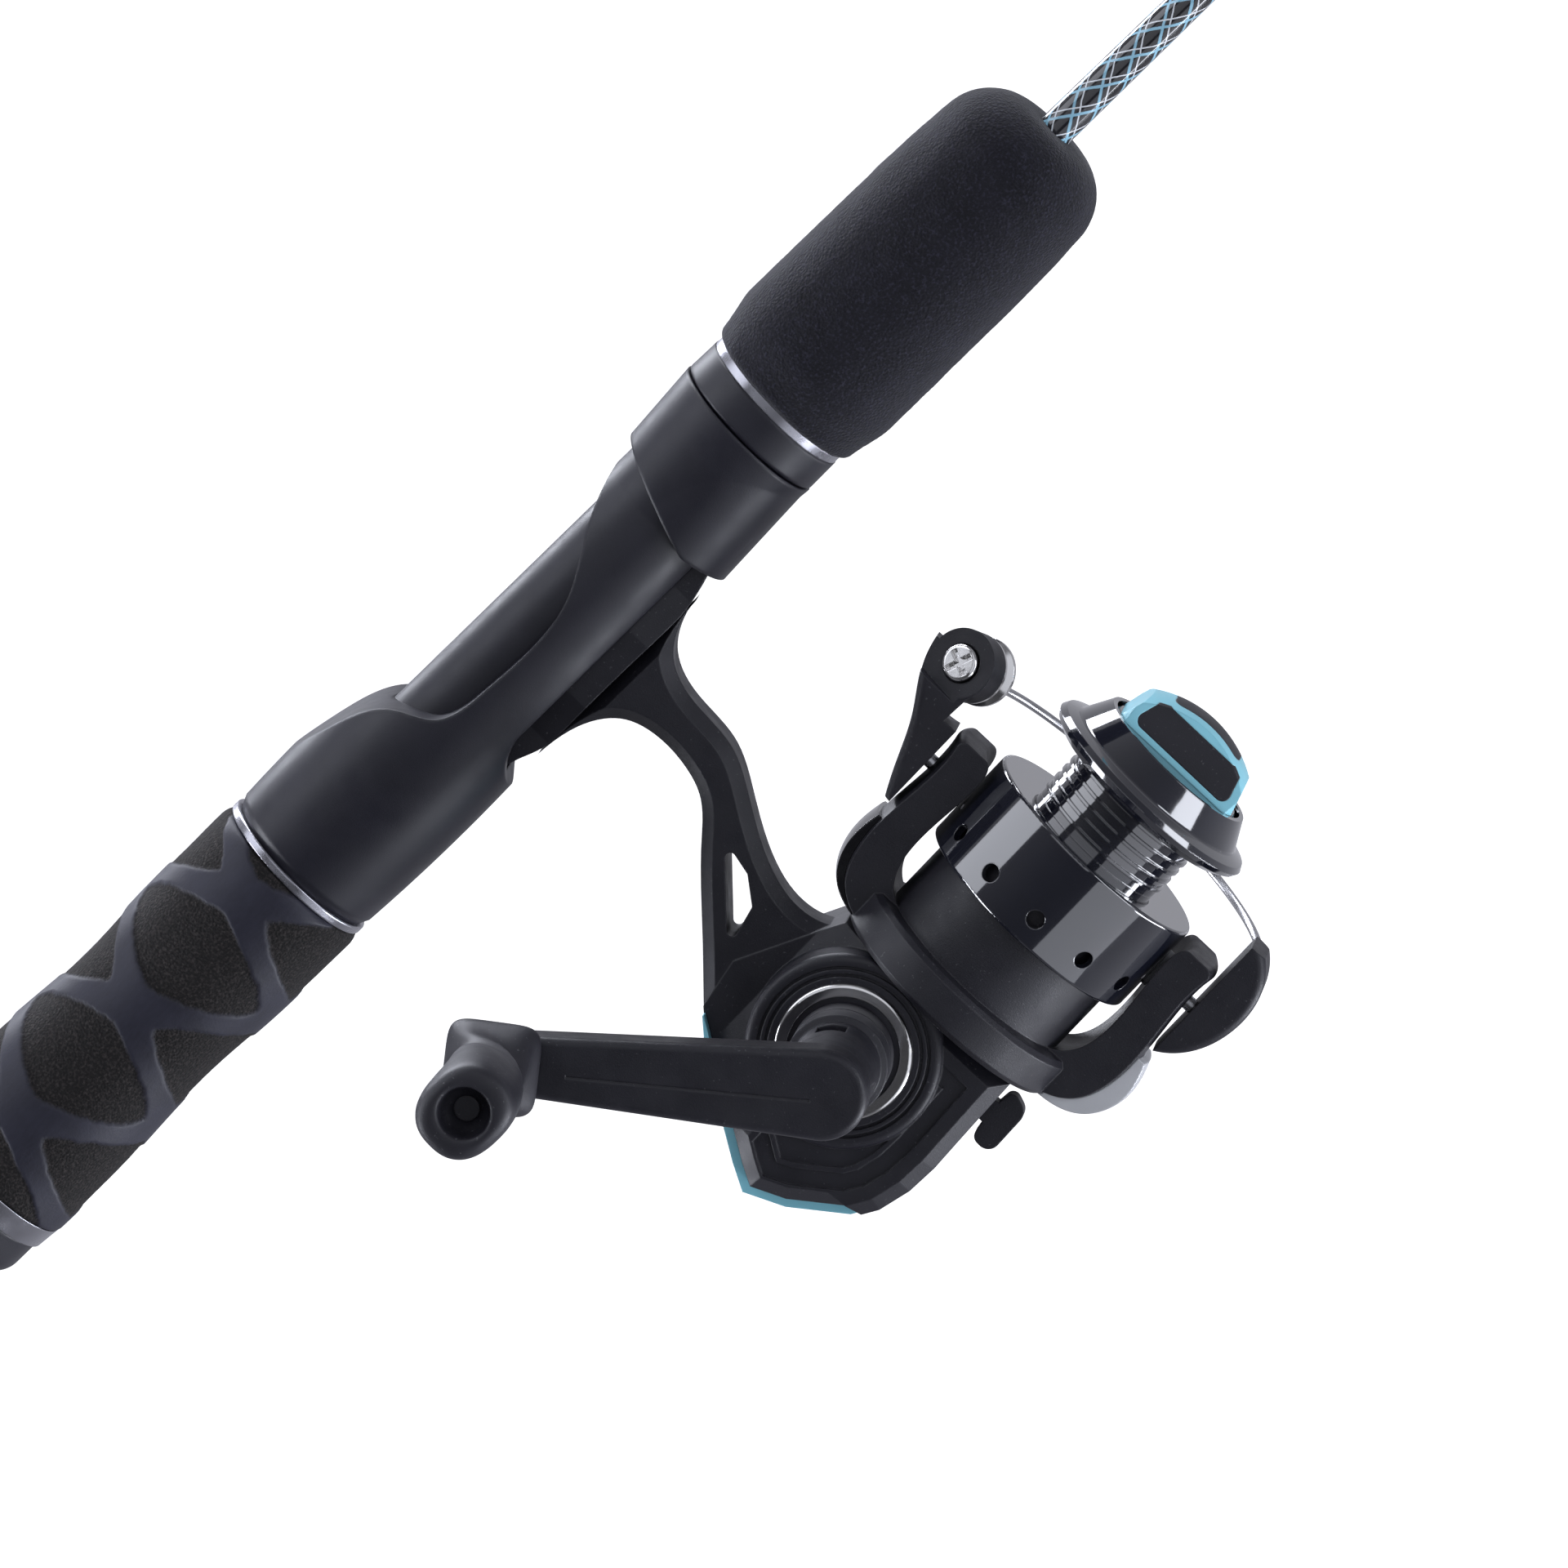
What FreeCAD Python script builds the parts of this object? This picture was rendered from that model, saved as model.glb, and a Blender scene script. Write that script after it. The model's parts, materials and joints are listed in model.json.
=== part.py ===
import FreeCAD, Part
import math
import os
import Sketcher

# Ice fishing rod with a small spinning reel, as an assembly of separate pieces.
# Rod frame: origin at the centre of the butt cap's end face, +X along the rod axis to the tip,
# +Z up, and the reel hangs on the -Z side with its crank on the -Y side.
# Reel frame: origin on the main shaft under the crank axis, +X forward along the main shaft,
# tilted nose-up by reel_tilt. All sizes are in millimetres and degrees.

V = FreeCAD.Vector
X_DIR, Y_DIR, Z_DIR = V(1, 0, 0), V(0, 1, 0), V(0, 0, 1)

SIZES = {
    # rod
    "rod_length": 660.0, "blank_radius": 3.0, "blank_tip_radius": 0.8, "blank_start": 6.0,
    "taper_start": 180.0, "blank_bore": 1.4, "blank_bore_end": 330.0, "blank_end_gap": 5.0,
    # butt and rear grip
    "butt_cap_length": 8.2, "butt_cap_radius": 13.0, "butt_cap_round": 4.0,
    "butt_ring_end": 11.8, "butt_ring_radius": 13.8,
    "rear_grip_end": 75.7, "rear_grip_radius": 14.2, "rear_grip_waist": 13.1,
    "rear_grip_front": 13.7, "grip_straight": 12.0, "trim_ring_width": 1.4, "trim_ring_radius": 13.1,
    # reel seat
    "seat_end": 164.0, "seat_radius": 13.4, "seat_nose_radius": 9.9, "tube_radius": 8.0,
    "tube_end": 190.0, "window_start": 105.3, "window_floor": -0.4, "window_end": 150.3,
    "saddle_z": -8.6, "lip_x": 107.9, "hood_start": 151.3, "hood_end": 170.6,
    "hood_rear_top": 158.5, "hood_radius": 12.6, "fit_gap": 0.3, "running_gap": 0.05,
    # lock nut and foregrip
    "nut_start": 170.8, "nut_end": 176.2, "nut_radius": 12.4, "foregrip_start": 177.6,
    "foregrip_end": 234.1, "foregrip_radius": 14.5, "foregrip_rear_radius": 12.5,
    "foregrip_round": 9.0, "arbor_radius": 10.0, "arbor_end": 214.0,
    # line guides
    "guide_count": 4, "guide_first_x": 318.0, "guide_last_x": 570.0, "guide_first_ring": 5.0,
    "guide_last_ring": 1.9, "guide_wire": 0.55, "tip_ring": 1.6, "wrap_thickness": 0.5,
    # reel position
    "reel_x": 118.0, "reel_z": -81.2, "reel_tilt": 2.2,
    # foot and stem
    "foot_rear": 104.0, "foot_front": 160.0, "foot_half_width": 6.2, "foot_end_half_width": 4.4,
    "foot_thickness": 4.0, "foot_room": 0.4,
    "stem_half_width": 5.0, "stem_bevel": 1.9,
    # gear case
    "case_half_width": 12.5, "case_wall": 1.8, "case_front": 13.0, "case_bevel": 2.2,
    "shoulder_half_width": 5.2, "drum_radius": 14.7, "drum_height": 0.8, "panel_depth": 0.5,
    "guard_thickness": 1.8, "guard_half_width": 7.5, "crank_z": 6.5, "neck_radius": 10.5,
    "neck_end": 18.6, "bezel_radius": 10.3, "bezel_bore": 8.4,
    # shafts and gears
    "shaft_radius": 2.2, "shaft_rear": -11.8, "shaft_front": 68.0, "pinion_radius": 4.8,
    "pinion_root": 4.0, "pinion_teeth": 5, "pinion_rear": 3.4, "pinion_tooth_end": 11.6,
    "sleeve_radius": 3.6, "sleeve_end": 26.0, "drive_gear_radius": 10.8, "drive_teeth": 26,
    "crank_shaft_radius": 3.0, "gear_module": 0.52, "small_gear_teeth": 20, "osc_gear_teeth": 30,
    "osc_pin_offset": 4.0, "gear_width": 2.0,
    # rotor
    "rotor_rear": 13.5, "rotor_disc_radius": 20.0, "rotor_disc_end": 20.0, "cup_radius": 16.3,
    "cup_end": 38.0, "arm_outer": 26.3, "arm_inner": 21.2, "arm_end": 45.0, "arm_half_width": 6.5,
    "rotor_wall": 1.6, "upper_cover": 1.3, "lower_cover": 2.6, "cover_front": 28.0,
    # bail
    "pivot_x": 38.1, "bail_wire_radius": 0.65, "bail_loop_radius": 29.0, "bail_loop_x": 49.0,
    "bail_loop_y": 7.0, "boss_x": 52.6, "boss_y": -4.0, "boss_z": 33.0, "boss_radius": 5.3,
    "roller_tilt": 27.0, "roller_radius": 5.2,
    # spool
    "skirt_radius": 18.7, "skirt_rear": 31.0, "skirt_front": 46.2, "skirt_wall": 1.2,
    "spool_arbor_radius": 11.2, "spool_arbor_end": 55.6, "lip_radius": 18.0, "lip_rim_x": 57.6,
    "lip_front": 63.6, "lip_front_radius": 13.0, "skirt_holes": 12, "skirt_hole_radius": 1.4,
    "skirt_hole_x": 35.2, "drag_pocket_radius": 12.2,
    # drag knob
    "knob_rear": 62.4, "knob_front": 71.4, "knob_radius": 11.8, "knob_disc_front": 63.4,
    # crank
    "boot_radius": 7.6, "boot_nose_radius": 6.6, "boot_step": 24.0, "arm_face": 47.0,
    "arm_thickness": 5.6, "arm_hub_radius": 6.8, "arm_tip_radius": 4.3, "arm_reach_x": -29.8,
    "arm_reach_z": 44.0, "knob_pin_radius": 1.9, "knob_end": 84.0, "handle_knob_start": 48.4,
}

doc = FreeCAD.newDocument("IceFishingRod")
sheet = doc.addObject("Spreadsheet::Sheet", "Sizes")
for row, (alias, number) in enumerate(SIZES.items(), 1):
    sheet.set(f"A{row}", alias)
    sheet.set(f"B{row}", f"{number}")
    sheet.setAlias(f"B{row}", alias)
doc.recompute()

pieces = []


class Size:
    """A number together with the sheet expression that gives it."""

    def __init__(self, value, text):
        self.value = value
        self.text = text

    def __add__(self, other):
        other = as_size(other)
        return Size(self.value + other.value, f"({self.text} + {other.text})")

    def __sub__(self, other):
        other = as_size(other)
        return Size(self.value - other.value, f"({self.text} - {other.text})")

    def __mul__(self, factor):
        return Size(self.value * factor, f"({self.text} * {factor:g})")

    def __neg__(self):
        return Size(-self.value, f"(-1 * {self.text})")

    def __float__(self):
        return self.value


class Sheet:
    """Reads the driving sizes: S.name is a Size, N.name is its plain number."""

    def __init__(self, wrap):
        self.wrap = wrap

    def __getattr__(self, alias):
        return self.wrap(alias)


S = Sheet(lambda alias: Size(float(sheet.get(alias)), f"Sizes.{alias}"))
N = Sheet(lambda alias: float(sheet.get(alias)))


def as_size(number):
    return number if isinstance(number, Size) else Size(float(number), f"({float(number):.6g})")


def put_in_frame(thing, frame):
    """Places a piece that was drawn in rod or reel coordinates."""
    if frame == "reel":
        thing.Placement = FreeCAD.Placement(
            V(N.reel_x, 0, N.reel_z), FreeCAD.Rotation(-Y_DIR, N.reel_tilt))
        thing.setExpression("Placement.Base.x", "Sizes.reel_x")
        thing.setExpression("Placement.Base.z", "Sizes.reel_z")
        thing.setExpression("Placement.Rotation.Angle", "Sizes.reel_tilt")


class Piece:
    """One PartDesign body. Sketch points are (h, v) along two directions from a start point."""

    def __init__(self, label, frame="rod"):
        self.body = doc.addObject("PartDesign::Body", label)
        self.body.Label = label
        put_in_frame(self.body, frame)
        pieces.append(self.body)

    def sketch(self, at, h_dir, v_dir):
        sketch = self.body.newObject("Sketcher::SketchObject", self.body.Label + "_outline")
        plane = [f for f in self.body.Origin.OriginFeatures if f.Role == "XY_Plane"][0]
        sketch.AttachmentSupport = (plane, [""])
        sketch.MapMode = "FlatFace"
        start = [as_size(c) for c in at]
        turn = FreeCAD.Rotation(h_dir, v_dir, h_dir.cross(v_dir), "XYZ")
        sketch.AttachmentOffset = FreeCAD.Placement(V(*[float(c) for c in start]), turn)
        for name, size in zip("xyz", start):
            sketch.setExpression(f"AttachmentOffset.Base.{name}", size.text)
        return sketch

    def draw(self, sketch, outline, rounds):
        points = [(as_size(h), as_size(v)) for h, v in outline]
        corners = [V(float(h), float(v), 0) for h, v in points]
        count = len(corners)
        for i in range(count):
            sketch.addGeometry(Part.LineSegment(corners[i], corners[(i + 1) % count]), False)
        for i in range(count):
            sketch.addConstraint(Sketcher.Constraint("Coincident", i, 2, (i + 1) % count, 1))
        for i, (h, v) in enumerate(points):
            for kind, size in (("DistanceX", h), ("DistanceY", v)):
                number = sketch.addConstraint(
                    Sketcher.Constraint(kind, -1, 1, i, 1, float(size)))
                sketch.setExpression(f"Constraints[{number}]", size.text)
        for corner, radius in (rounds or {}).items():
            radius = as_size(radius)
            sketch.fillet((corner - 1) % count, 2, float(radius), True, True)
            arc = max(i for i, g in enumerate(sketch.Geometry) if isinstance(g, Part.ArcOfCircle))
            number = sketch.addConstraint(Sketcher.Constraint("Radius", arc, float(radius)))
            sketch.setExpression(f"Constraints[{number}]", radius.text)

    def circle(self, sketch, centre, radius):
        radius = as_size(radius)
        spot = V(float(centre[0]), float(centre[1]), 0)
        ring = sketch.addGeometry(Part.Circle(spot, V(0, 0, 1), float(radius)), False)
        number = sketch.addConstraint(Sketcher.Constraint("Radius", ring, float(radius)))
        sketch.setExpression(f"Constraints[{number}]", radius.text)
        for kind, size in zip(("DistanceX", "DistanceY"), centre):
            size = as_size(size)
            number = sketch.addConstraint(
                Sketcher.Constraint(kind, -1, 1, ring, 3, float(size)))
            sketch.setExpression(f"Constraints[{number}]", size.text)

    def turn(self, outline, at=(0, 0, 0), along=X_DIR, up=Z_DIR, rounds=None, cut=False):
        """Turns an outline of (distance along, radius) points about the line through at."""
        sketch = self.sketch(at, along, up)
        self.draw(sketch, outline, rounds)
        kind = "Groove" if cut else "Revolution"
        feature = self.body.newObject("PartDesign::" + kind, self.body.Label + "_turned")
        feature.Profile = sketch
        feature.ReferenceAxis = (sketch, ["H_Axis"])
        feature.Angle = 360
        doc.recompute()
        return feature

    def extrude(self, length, at, h_dir, v_dir, outline=None, rounds=None, circle=None, cut=False):
        """Pushes an outline or a circle along h_dir x v_dir from at, adding or cutting."""
        sketch = self.sketch(at, h_dir, v_dir)
        if outline:
            self.draw(sketch, outline, rounds)
        if circle:
            self.circle(sketch, (circle[0], circle[1]), circle[2])
        kind = "Pocket" if cut else "Pad"
        before = self.body.Shape.Volume if cut else 0
        feature = self.body.newObject("PartDesign::" + kind, self.body.Label + "_extruded")
        feature.Profile = sketch
        feature.Reversed = cut
        feature.Length = float(length)
        feature.setExpression("Length", as_size(length).text)
        doc.recompute()
        if cut and not feature.Shape.Volume < before:
            raise ValueError(f"{self.body.Label}: a pocket cuts nothing")
        return feature

    def around(self, feature, count):
        """Repeats a feature around the frame's X axis."""
        pattern = self.body.newObject("PartDesign::PolarPattern", self.body.Label + "_pattern")
        pattern.Originals = [feature]
        axis = [f for f in self.body.Origin.OriginFeatures if f.Role == "X_Axis"][0]
        pattern.Axis = (axis, [""])
        pattern.Angle = 360
        pattern.Occurrences = int(count)
        self.body.Tip = pattern
        doc.recompute()


def turned(label, frame, outline, **how):
    piece = Piece(label, frame)
    piece.turn(outline, **how)
    return piece


def shaped(label, frame, shape):
    """A piece whose shape is worked out in code from the sheet's sizes."""
    feature = doc.addObject("Part::Feature", label)
    feature.Label = label
    feature.Shape = shape if shape.Placement.isIdentity() else Part.makeCompound([shape])
    put_in_frame(feature, frame)
    pieces.append(feature)
    return feature


def curve(points):
    """A smooth edge through (x, z) points in the plane y = 0."""
    line = Part.BSplineCurve()
    line.interpolate([V(x, 0, z) for x, z in points])
    return line.toShape()


def line(start, end):
    return Part.makeLine(V(start[0], 0, start[1]), V(end[0], 0, end[1]))


def slab(edges, low_y, high_y):
    """Extrudes a closed outline of the plane y = 0 between two values of y."""
    face = Part.Face(Part.Wire(edges))
    face.translate(V(0, low_y, 0))
    return face.extrude(V(0, high_y - low_y, 0))


def polygon_slab(points, low_y, high_y):
    edges = [line(points[i], points[(i + 1) % len(points)]) for i in range(len(points))]
    return slab(edges, low_y, high_y)


def box(low, high):
    size = [b - a for a, b in zip(low, high)]
    return Part.makeBox(*size, V(*low))


def rod_bar(radius, start, end):
    """A cylinder from one point to another."""
    start, end = V(*start), V(*end)
    return Part.makeCylinder(radius, (end - start).Length, start, end - start)


def softened(shape, radius, chooses):
    """Rounds the edges that chooses picks, as many as the kernel can round."""
    edges = [edge for edge in shape.Edges if chooses(edge)]
    return shape.makeFillet(radius, edges) if edges else shape


def flat_at(axis, value):
    """Chooses the edges that lie in the plane where the named coordinate has this value."""
    def chooses(edge):
        bounds = edge.BoundBox
        low = getattr(bounds, axis.upper() + "Min")
        high = getattr(bounds, axis.upper() + "Max")
        return abs(low - value) < 0.01 and abs(high - value) < 0.01
    return chooses


# ---------------------------------------------------------------- rod blank and handle

def rod_blank():
    turned("blank", "rod", [
        (S.blank_start, S.blank_bore), (S.blank_start, S.blank_radius),
        (S.taper_start, S.blank_radius), (S.rod_length - S.blank_end_gap, S.blank_tip_radius),
        (S.rod_length - S.blank_end_gap, 0), (S.blank_bore_end, 0),
        (S.blank_bore_end, S.blank_bore * 0.5)])


def butt():
    turned("butt_cap", "rod", [
        (0, 0), (0, S.butt_cap_radius), (S.butt_cap_length, S.butt_cap_radius),
        (S.butt_cap_length, S.blank_radius), (S.blank_start, S.blank_radius), (S.blank_start, 0)],
        rounds={1: S.butt_cap_round})
    turned("butt_ring", "rod", [
        (S.butt_cap_length, S.blank_radius), (S.butt_cap_length, S.butt_ring_radius - 0.3),
        (S.butt_ring_end, S.butt_ring_radius), (S.butt_ring_end, S.blank_radius)])


def rear_grip():
    start, end = N.butt_ring_end, N.rear_grip_end
    shoulder, waist_start = start + 2, start + 2 + N.grip_straight
    outer = curve([(waist_start, N.rear_grip_radius), (waist_start + 4, N.rear_grip_radius - 0.15),
                   (start + 32, N.rear_grip_waist), (end - 10, N.rear_grip_front),
                   (end - 1, N.rear_grip_front - 0.1)])
    profile = Part.Wire([
        line((start, N.blank_radius), (start, N.rear_grip_radius - 0.7)),
        line((start, N.rear_grip_radius - 0.7), (shoulder, N.rear_grip_radius)),
        line((shoulder, N.rear_grip_radius), (waist_start, N.rear_grip_radius)),
        outer,
        line((end - 1, N.rear_grip_front - 0.1), (end, N.rear_grip_front - 0.7)),
        line((end, N.rear_grip_front - 0.7), (end, N.blank_radius)),
        line((end, N.blank_radius), (start, N.blank_radius))])
    shaped("rear_grip", "rod", Part.Face(profile).revolve(V(0, 0, 0), X_DIR, 360))
    turned("rear_trim_ring", "rod", [
        (S.rear_grip_end, S.blank_radius), (S.rear_grip_end, S.trim_ring_radius),
        (S.rear_grip_end + S.trim_ring_width, S.trim_ring_radius),
        (S.rear_grip_end + S.trim_ring_width, S.blank_radius)], rounds={1: 0.3, 2: 0.3})


def seat_tube():
    start = S.rear_grip_end + S.trim_ring_width
    turned("seat_tube", "rod", [
        (start, S.blank_radius), (start, S.tube_radius), (S.tube_end, S.tube_radius),
        (S.tube_end, S.blank_radius + 0.4), (S.taper_start, S.blank_radius + 0.4),
        (S.taper_start, S.blank_radius)])


def reel_seat():
    """A bored body of revolution, opened above as a window and below as the foot's saddle."""
    start = N.rear_grip_end + N.trim_ring_width
    outer = Part.BSplineCurve()
    outer.interpolate([V(x, 0, r) for x, r in (
        (start + 1.5, N.seat_radius - 0.4), (start + 12, N.seat_radius),
        (N.window_start + 3, N.seat_radius - 0.2), (N.window_start + 22, N.seat_radius - 1.4),
        (N.hood_start - 4, N.seat_nose_radius + 0.5), (N.hood_start + 1, N.seat_nose_radius))])
    profile = Part.Wire([
        line((start, N.tube_radius), (start, N.seat_radius - 1.1)),
        line((start, N.seat_radius - 1.1), (start + 1.5, N.seat_radius - 0.4)),
        outer.toShape(),
        line((N.hood_start + 1, N.seat_nose_radius), (N.seat_end, N.seat_nose_radius)),
        line((N.seat_end, N.seat_nose_radius), (N.seat_end, N.tube_radius)),
        line((N.seat_end, N.tube_radius), (start, N.tube_radius))])
    seat = Part.Face(profile).revolve(V(0, 0, 0), X_DIR, 360)
    top = N.seat_radius + 6
    rim = [(N.window_start - 19, N.seat_radius + 0.6), (N.window_start - 9, N.seat_radius - 1.7),
           (N.window_start, 7.4), (N.window_start + 4, 1.9), (N.window_start + 12, -0.1),
           (N.window_start + 23, N.window_floor), (N.window_start + 31, 1.4),
           (N.window_end - 7, 5.6), (N.window_end, 9.1), (N.window_end + 9, N.seat_nose_radius + 0.2)]
    window = slab([curve(rim), line(rim[-1], (rim[-1][0], top)),
                   line((rim[-1][0], top), (rim[0][0], top)), line((rim[0][0], top), rim[0])],
                  -20, 20)
    lip = [(N.lip_x, -20), (N.lip_x + 0.2, -13), (N.lip_x + 3, -10.2), (N.lip_x + 9, N.saddle_z)]
    far = N.seat_end + 6
    saddle = slab([curve(lip), line(lip[-1], (far, N.saddle_z)),
                   line((far, N.saddle_z), (far, -20)), line((far, -20), lip[0])], -20, 20)
    reach = N.foot_end_half_width + N.foot_room
    socket = box((N.foot_rear - N.foot_room, -reach, N.saddle_z - 2.3),
                 (N.lip_x + 12, reach, N.saddle_z))
    shaped("reel_seat", "rod", seat.cut([window, saddle, socket]))


def hood():
    """The sliding hood: a cone with a slanted rear edge that traps the foot's front end."""
    start, end = N.hood_start, N.hood_end
    cone = Part.makeCone(N.hood_radius - 1.6, N.hood_radius, end - start, V(start, 0, 0), X_DIR)
    chin = Part.makeCone(N.hood_radius - 1.1, N.hood_radius - 0.4, end - start,
                         V(start, 0, -1.9), X_DIR + V(0, 0, 0.09))
    outer = cone.fuse(chin).removeSplitter()
    slant = polygon_slab([(start - 5, -20), (start, -20), (start + 0.5, -6),
                          (N.hood_rear_top, 14), (start - 5, 14)], -20, 20)
    nose_room = rod_bar(N.seat_nose_radius + N.fit_gap, (start - 5, 0, 0), (N.seat_end + 0.5, 0, 0))
    thread = rod_bar(N.tube_radius + N.fit_gap, (start, 0, 0), (end + 1, 0, 0))
    reach = N.foot_end_half_width + N.foot_room
    foot_room = box((start - 5, -reach, N.saddle_z - 3.0), (N.foot_front + N.foot_room, reach, 0))
    inside = rod_bar(N.hood_radius, (end - 0.01, 0, 0), (end + 4, 0, 0))
    shaped("sliding_hood", "rod", outer.cut([slant, nose_room, thread, foot_room, inside]))


def foregrip():
    bore = S.tube_radius + S.running_gap
    turned("lock_nut", "rod", [
        (S.nut_start, bore), (S.nut_start, S.nut_radius + 0.1), (S.nut_end, S.nut_radius),
        (S.nut_end, bore)], rounds={1: 0.5})
    turned("foregrip_trim_ring", "rod", [
        (S.nut_end, S.arbor_radius), (S.nut_end, S.nut_radius - 0.1),
        (S.foregrip_start, S.nut_radius - 0.1), (S.foregrip_start, S.arbor_radius)])
    turned("foregrip_arbor", "rod", [
        (S.nut_end, bore), (S.nut_end, S.arbor_radius), (S.arbor_end, S.arbor_radius),
        (S.arbor_end, bore)])
    clear = S.blank_radius + S.fit_gap
    turned("foregrip", "rod", [
        (S.foregrip_start, S.arbor_radius), (S.foregrip_start, S.foregrip_rear_radius),
        (S.foregrip_start + 9, S.foregrip_radius), (S.foregrip_end - 12, S.foregrip_radius - 0.6),
        (S.foregrip_end, S.foregrip_radius - 1.2), (S.foregrip_end, clear),
        (S.arbor_end, clear), (S.arbor_end, S.arbor_radius)],
        rounds={2: 14, 4: S.foregrip_round})


# ---------------------------------------------------------------- line guides

def blank_radius_at(x):
    run = N.rod_length - N.blank_end_gap - N.taper_start
    return N.blank_radius + (N.blank_tip_radius - N.blank_radius) * (x - N.taper_start) / run


def guide_place(number):
    """Guide station: x, ring bore radius and the ring centre's distance under the rod axis."""
    share = number / (N.guide_count - 1)
    x = N.guide_first_x + (N.guide_last_x - N.guide_first_x) * share ** 0.85
    bore = N.guide_first_ring + (N.guide_last_ring - N.guide_first_ring) * share ** 0.7
    return x, bore, bore * 2.1 + blank_radius_at(x) + 1.6


def ring(x, z, bore, outer, width):
    middle = V(x - width / 2, 0, z)
    return Part.makeCylinder(outer, width, middle, X_DIR).cut(
        Part.makeCylinder(bore, width, middle, X_DIR))


def guide_frame(x, bore, drop):
    """A stamped frame: a flat foot on the blank, two legs and a collar round the ring."""
    surface = -blank_radius_at(x)
    collar = ring(x, -drop, bore + 0.7, bore + 1.5, 1.2)
    foot_length = 6 + bore
    foot = box((x - foot_length, -0.9, surface - 0.55), (x - 0.4, 0.9, surface))
    legs = [rod_bar(N.guide_wire, (x - 0.5 * foot_length, side * 0.3, surface - 0.3),
                    (x, side * (bore + 1.0), -drop + 0.4)) for side in (-1, 1)]
    brace = rod_bar(N.guide_wire, (x - 1, 0, surface - 0.4), (x, 0, -drop + bore + 1.1))
    solid = collar.fuse(legs + [foot, brace])
    hole = Part.makeCylinder(bore + 0.7, 8, V(x - 4, 0, -drop), X_DIR)
    return solid.cut([hole, Part.makeCone(
        N.blank_radius, N.blank_tip_radius, N.rod_length - N.blank_end_gap - N.taper_start,
        V(N.taper_start, 0, 0), X_DIR)])


def guides():
    stations = [guide_place(number) for number in range(int(N.guide_count))]
    shaped("guide_frames", "rod", Part.makeCompound([guide_frame(*s) for s in stations]))
    shaped("guide_rings", "rod", Part.makeCompound(
        [ring(x, -drop, bore, bore + 0.7, 1.6) for x, bore, drop in stations]))
    wraps = []
    frames = doc.getObject("guide_frames").Shape
    for x, bore, drop in stations:
        length = 0.62 * (6 + bore)
        low = blank_radius_at(x - 6 - bore - 1)
        sleeve = Part.makeCylinder(low + N.wrap_thickness + 0.5, length, V(x - 7.5 - bore, 0, 0), X_DIR)
        wraps.append(sleeve)
    core = Part.makeCone(N.blank_radius, N.blank_tip_radius,
                         N.rod_length - N.blank_end_gap - N.taper_start,
                         V(N.taper_start, 0, 0), X_DIR)
    shaped("guide_wraps", "rod", Part.makeCompound([w.cut([core, frames]) for w in wraps]))


def tip_top():
    end = N.rod_length
    tube_radius = N.blank_tip_radius + 0.55
    drop = N.tip_ring + 0.7 + tube_radius + 0.4
    blank_end = end - N.blank_end_gap
    tube = Part.makeCylinder(tube_radius, 11, V(end - 14, 0, 0), X_DIR)
    collar = ring(end - 1.2, -drop, N.tip_ring + 0.7, N.tip_ring + 1.4, 1.4)
    legs = [rod_bar(N.guide_wire, (end - 6, side * 0.8, 0),
                    (end - 1.2, side * (N.tip_ring + 1.05), -drop)) for side in (-1, 1)]
    core = Part.makeCone(N.blank_radius, N.blank_tip_radius, blank_end - N.taper_start,
                         V(N.taper_start, 0, 0), X_DIR)
    hole = Part.makeCylinder(N.tip_ring + 0.7, 8, V(end - 6, 0, -drop), X_DIR)
    shaped("tip_top", "rod", tube.fuse(legs + [collar]).cut([core, hole]))
    shaped("tip_top_ring", "rod", ring(end - 1.2, -drop, N.tip_ring, N.tip_ring + 0.7, 1.8))


# ---------------------------------------------------------------- reel body

STEM_REAR = [(114.5, -12.6), (119.6, -13.2), (124.0, -14.8), (127.3, -17.6), (129.1, -22.6),
             (129.0, -28.6), (127.4, -33.6), (122.7, -38.6), (112.5, -49.1), (104.3, -57.6)]
STEM_FRONT = [(147.5, -12.6), (143.0, -13.6), (139.4, -16.0), (136.9, -21.6), (136.0, -31.6),
              (132.4, -39.0), (127.8, -47.6), (126.2, -54.6), (126.8, -58.6), (131.2, -63.6)]


def inset_points(points, inset):
    """Moves each corner of a closed clockwise outline inward by inset, square to its sides."""
    moved = []
    for i, (x, z) in enumerate(points):
        before, after = points[i - 1], points[(i + 1) % len(points)]
        normals = []
        for (x0, z0), (x1, z1) in ((before, (x, z)), ((x, z), after)):
            length = math.hypot(x1 - x0, z1 - z0)
            normals.append(((z0 - z1) / length, (x1 - x0) / length))
        (ax, az), (bx, bz) = normals
        share = inset / (1 + ax * bx + az * bz)
        moved.append((x + (ax + bx) * share, z + (az + bz) * share))
    return moved


def case_outline(inset):
    """The gear case's side outline in the reel frame, rear guard included."""
    corners = [(-11.0, 25.6), (-16.0, 20.2), (-24.7, 6.6), (-26.9, 2.6), (-24.1, -3.5),
               (-18.2, -11.2), (-14.2, -13.6), (-9.0, -14.9), (-4.0, -15.2), (1.0, -15.0),
               (6.5, -14.8), (N.case_front, -14.6), (N.case_front, 19.0), (4.0, 23.5), (-3.0, 27.0)]
    return inset_points(corners, inset)


def case_slab(inset, low_y, high_y):
    return polygon_slab(case_outline(inset), low_y, high_y)


def guard_region(low_y, high_y):
    return polygon_slab([(-40, 40), (-11.5, 24.7), (-14.2, 20.6), (-18.0, 4.0), (-16.6, -12.0),
                         (-17.4, -20), (-40, -20)], low_y, high_y)


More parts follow.
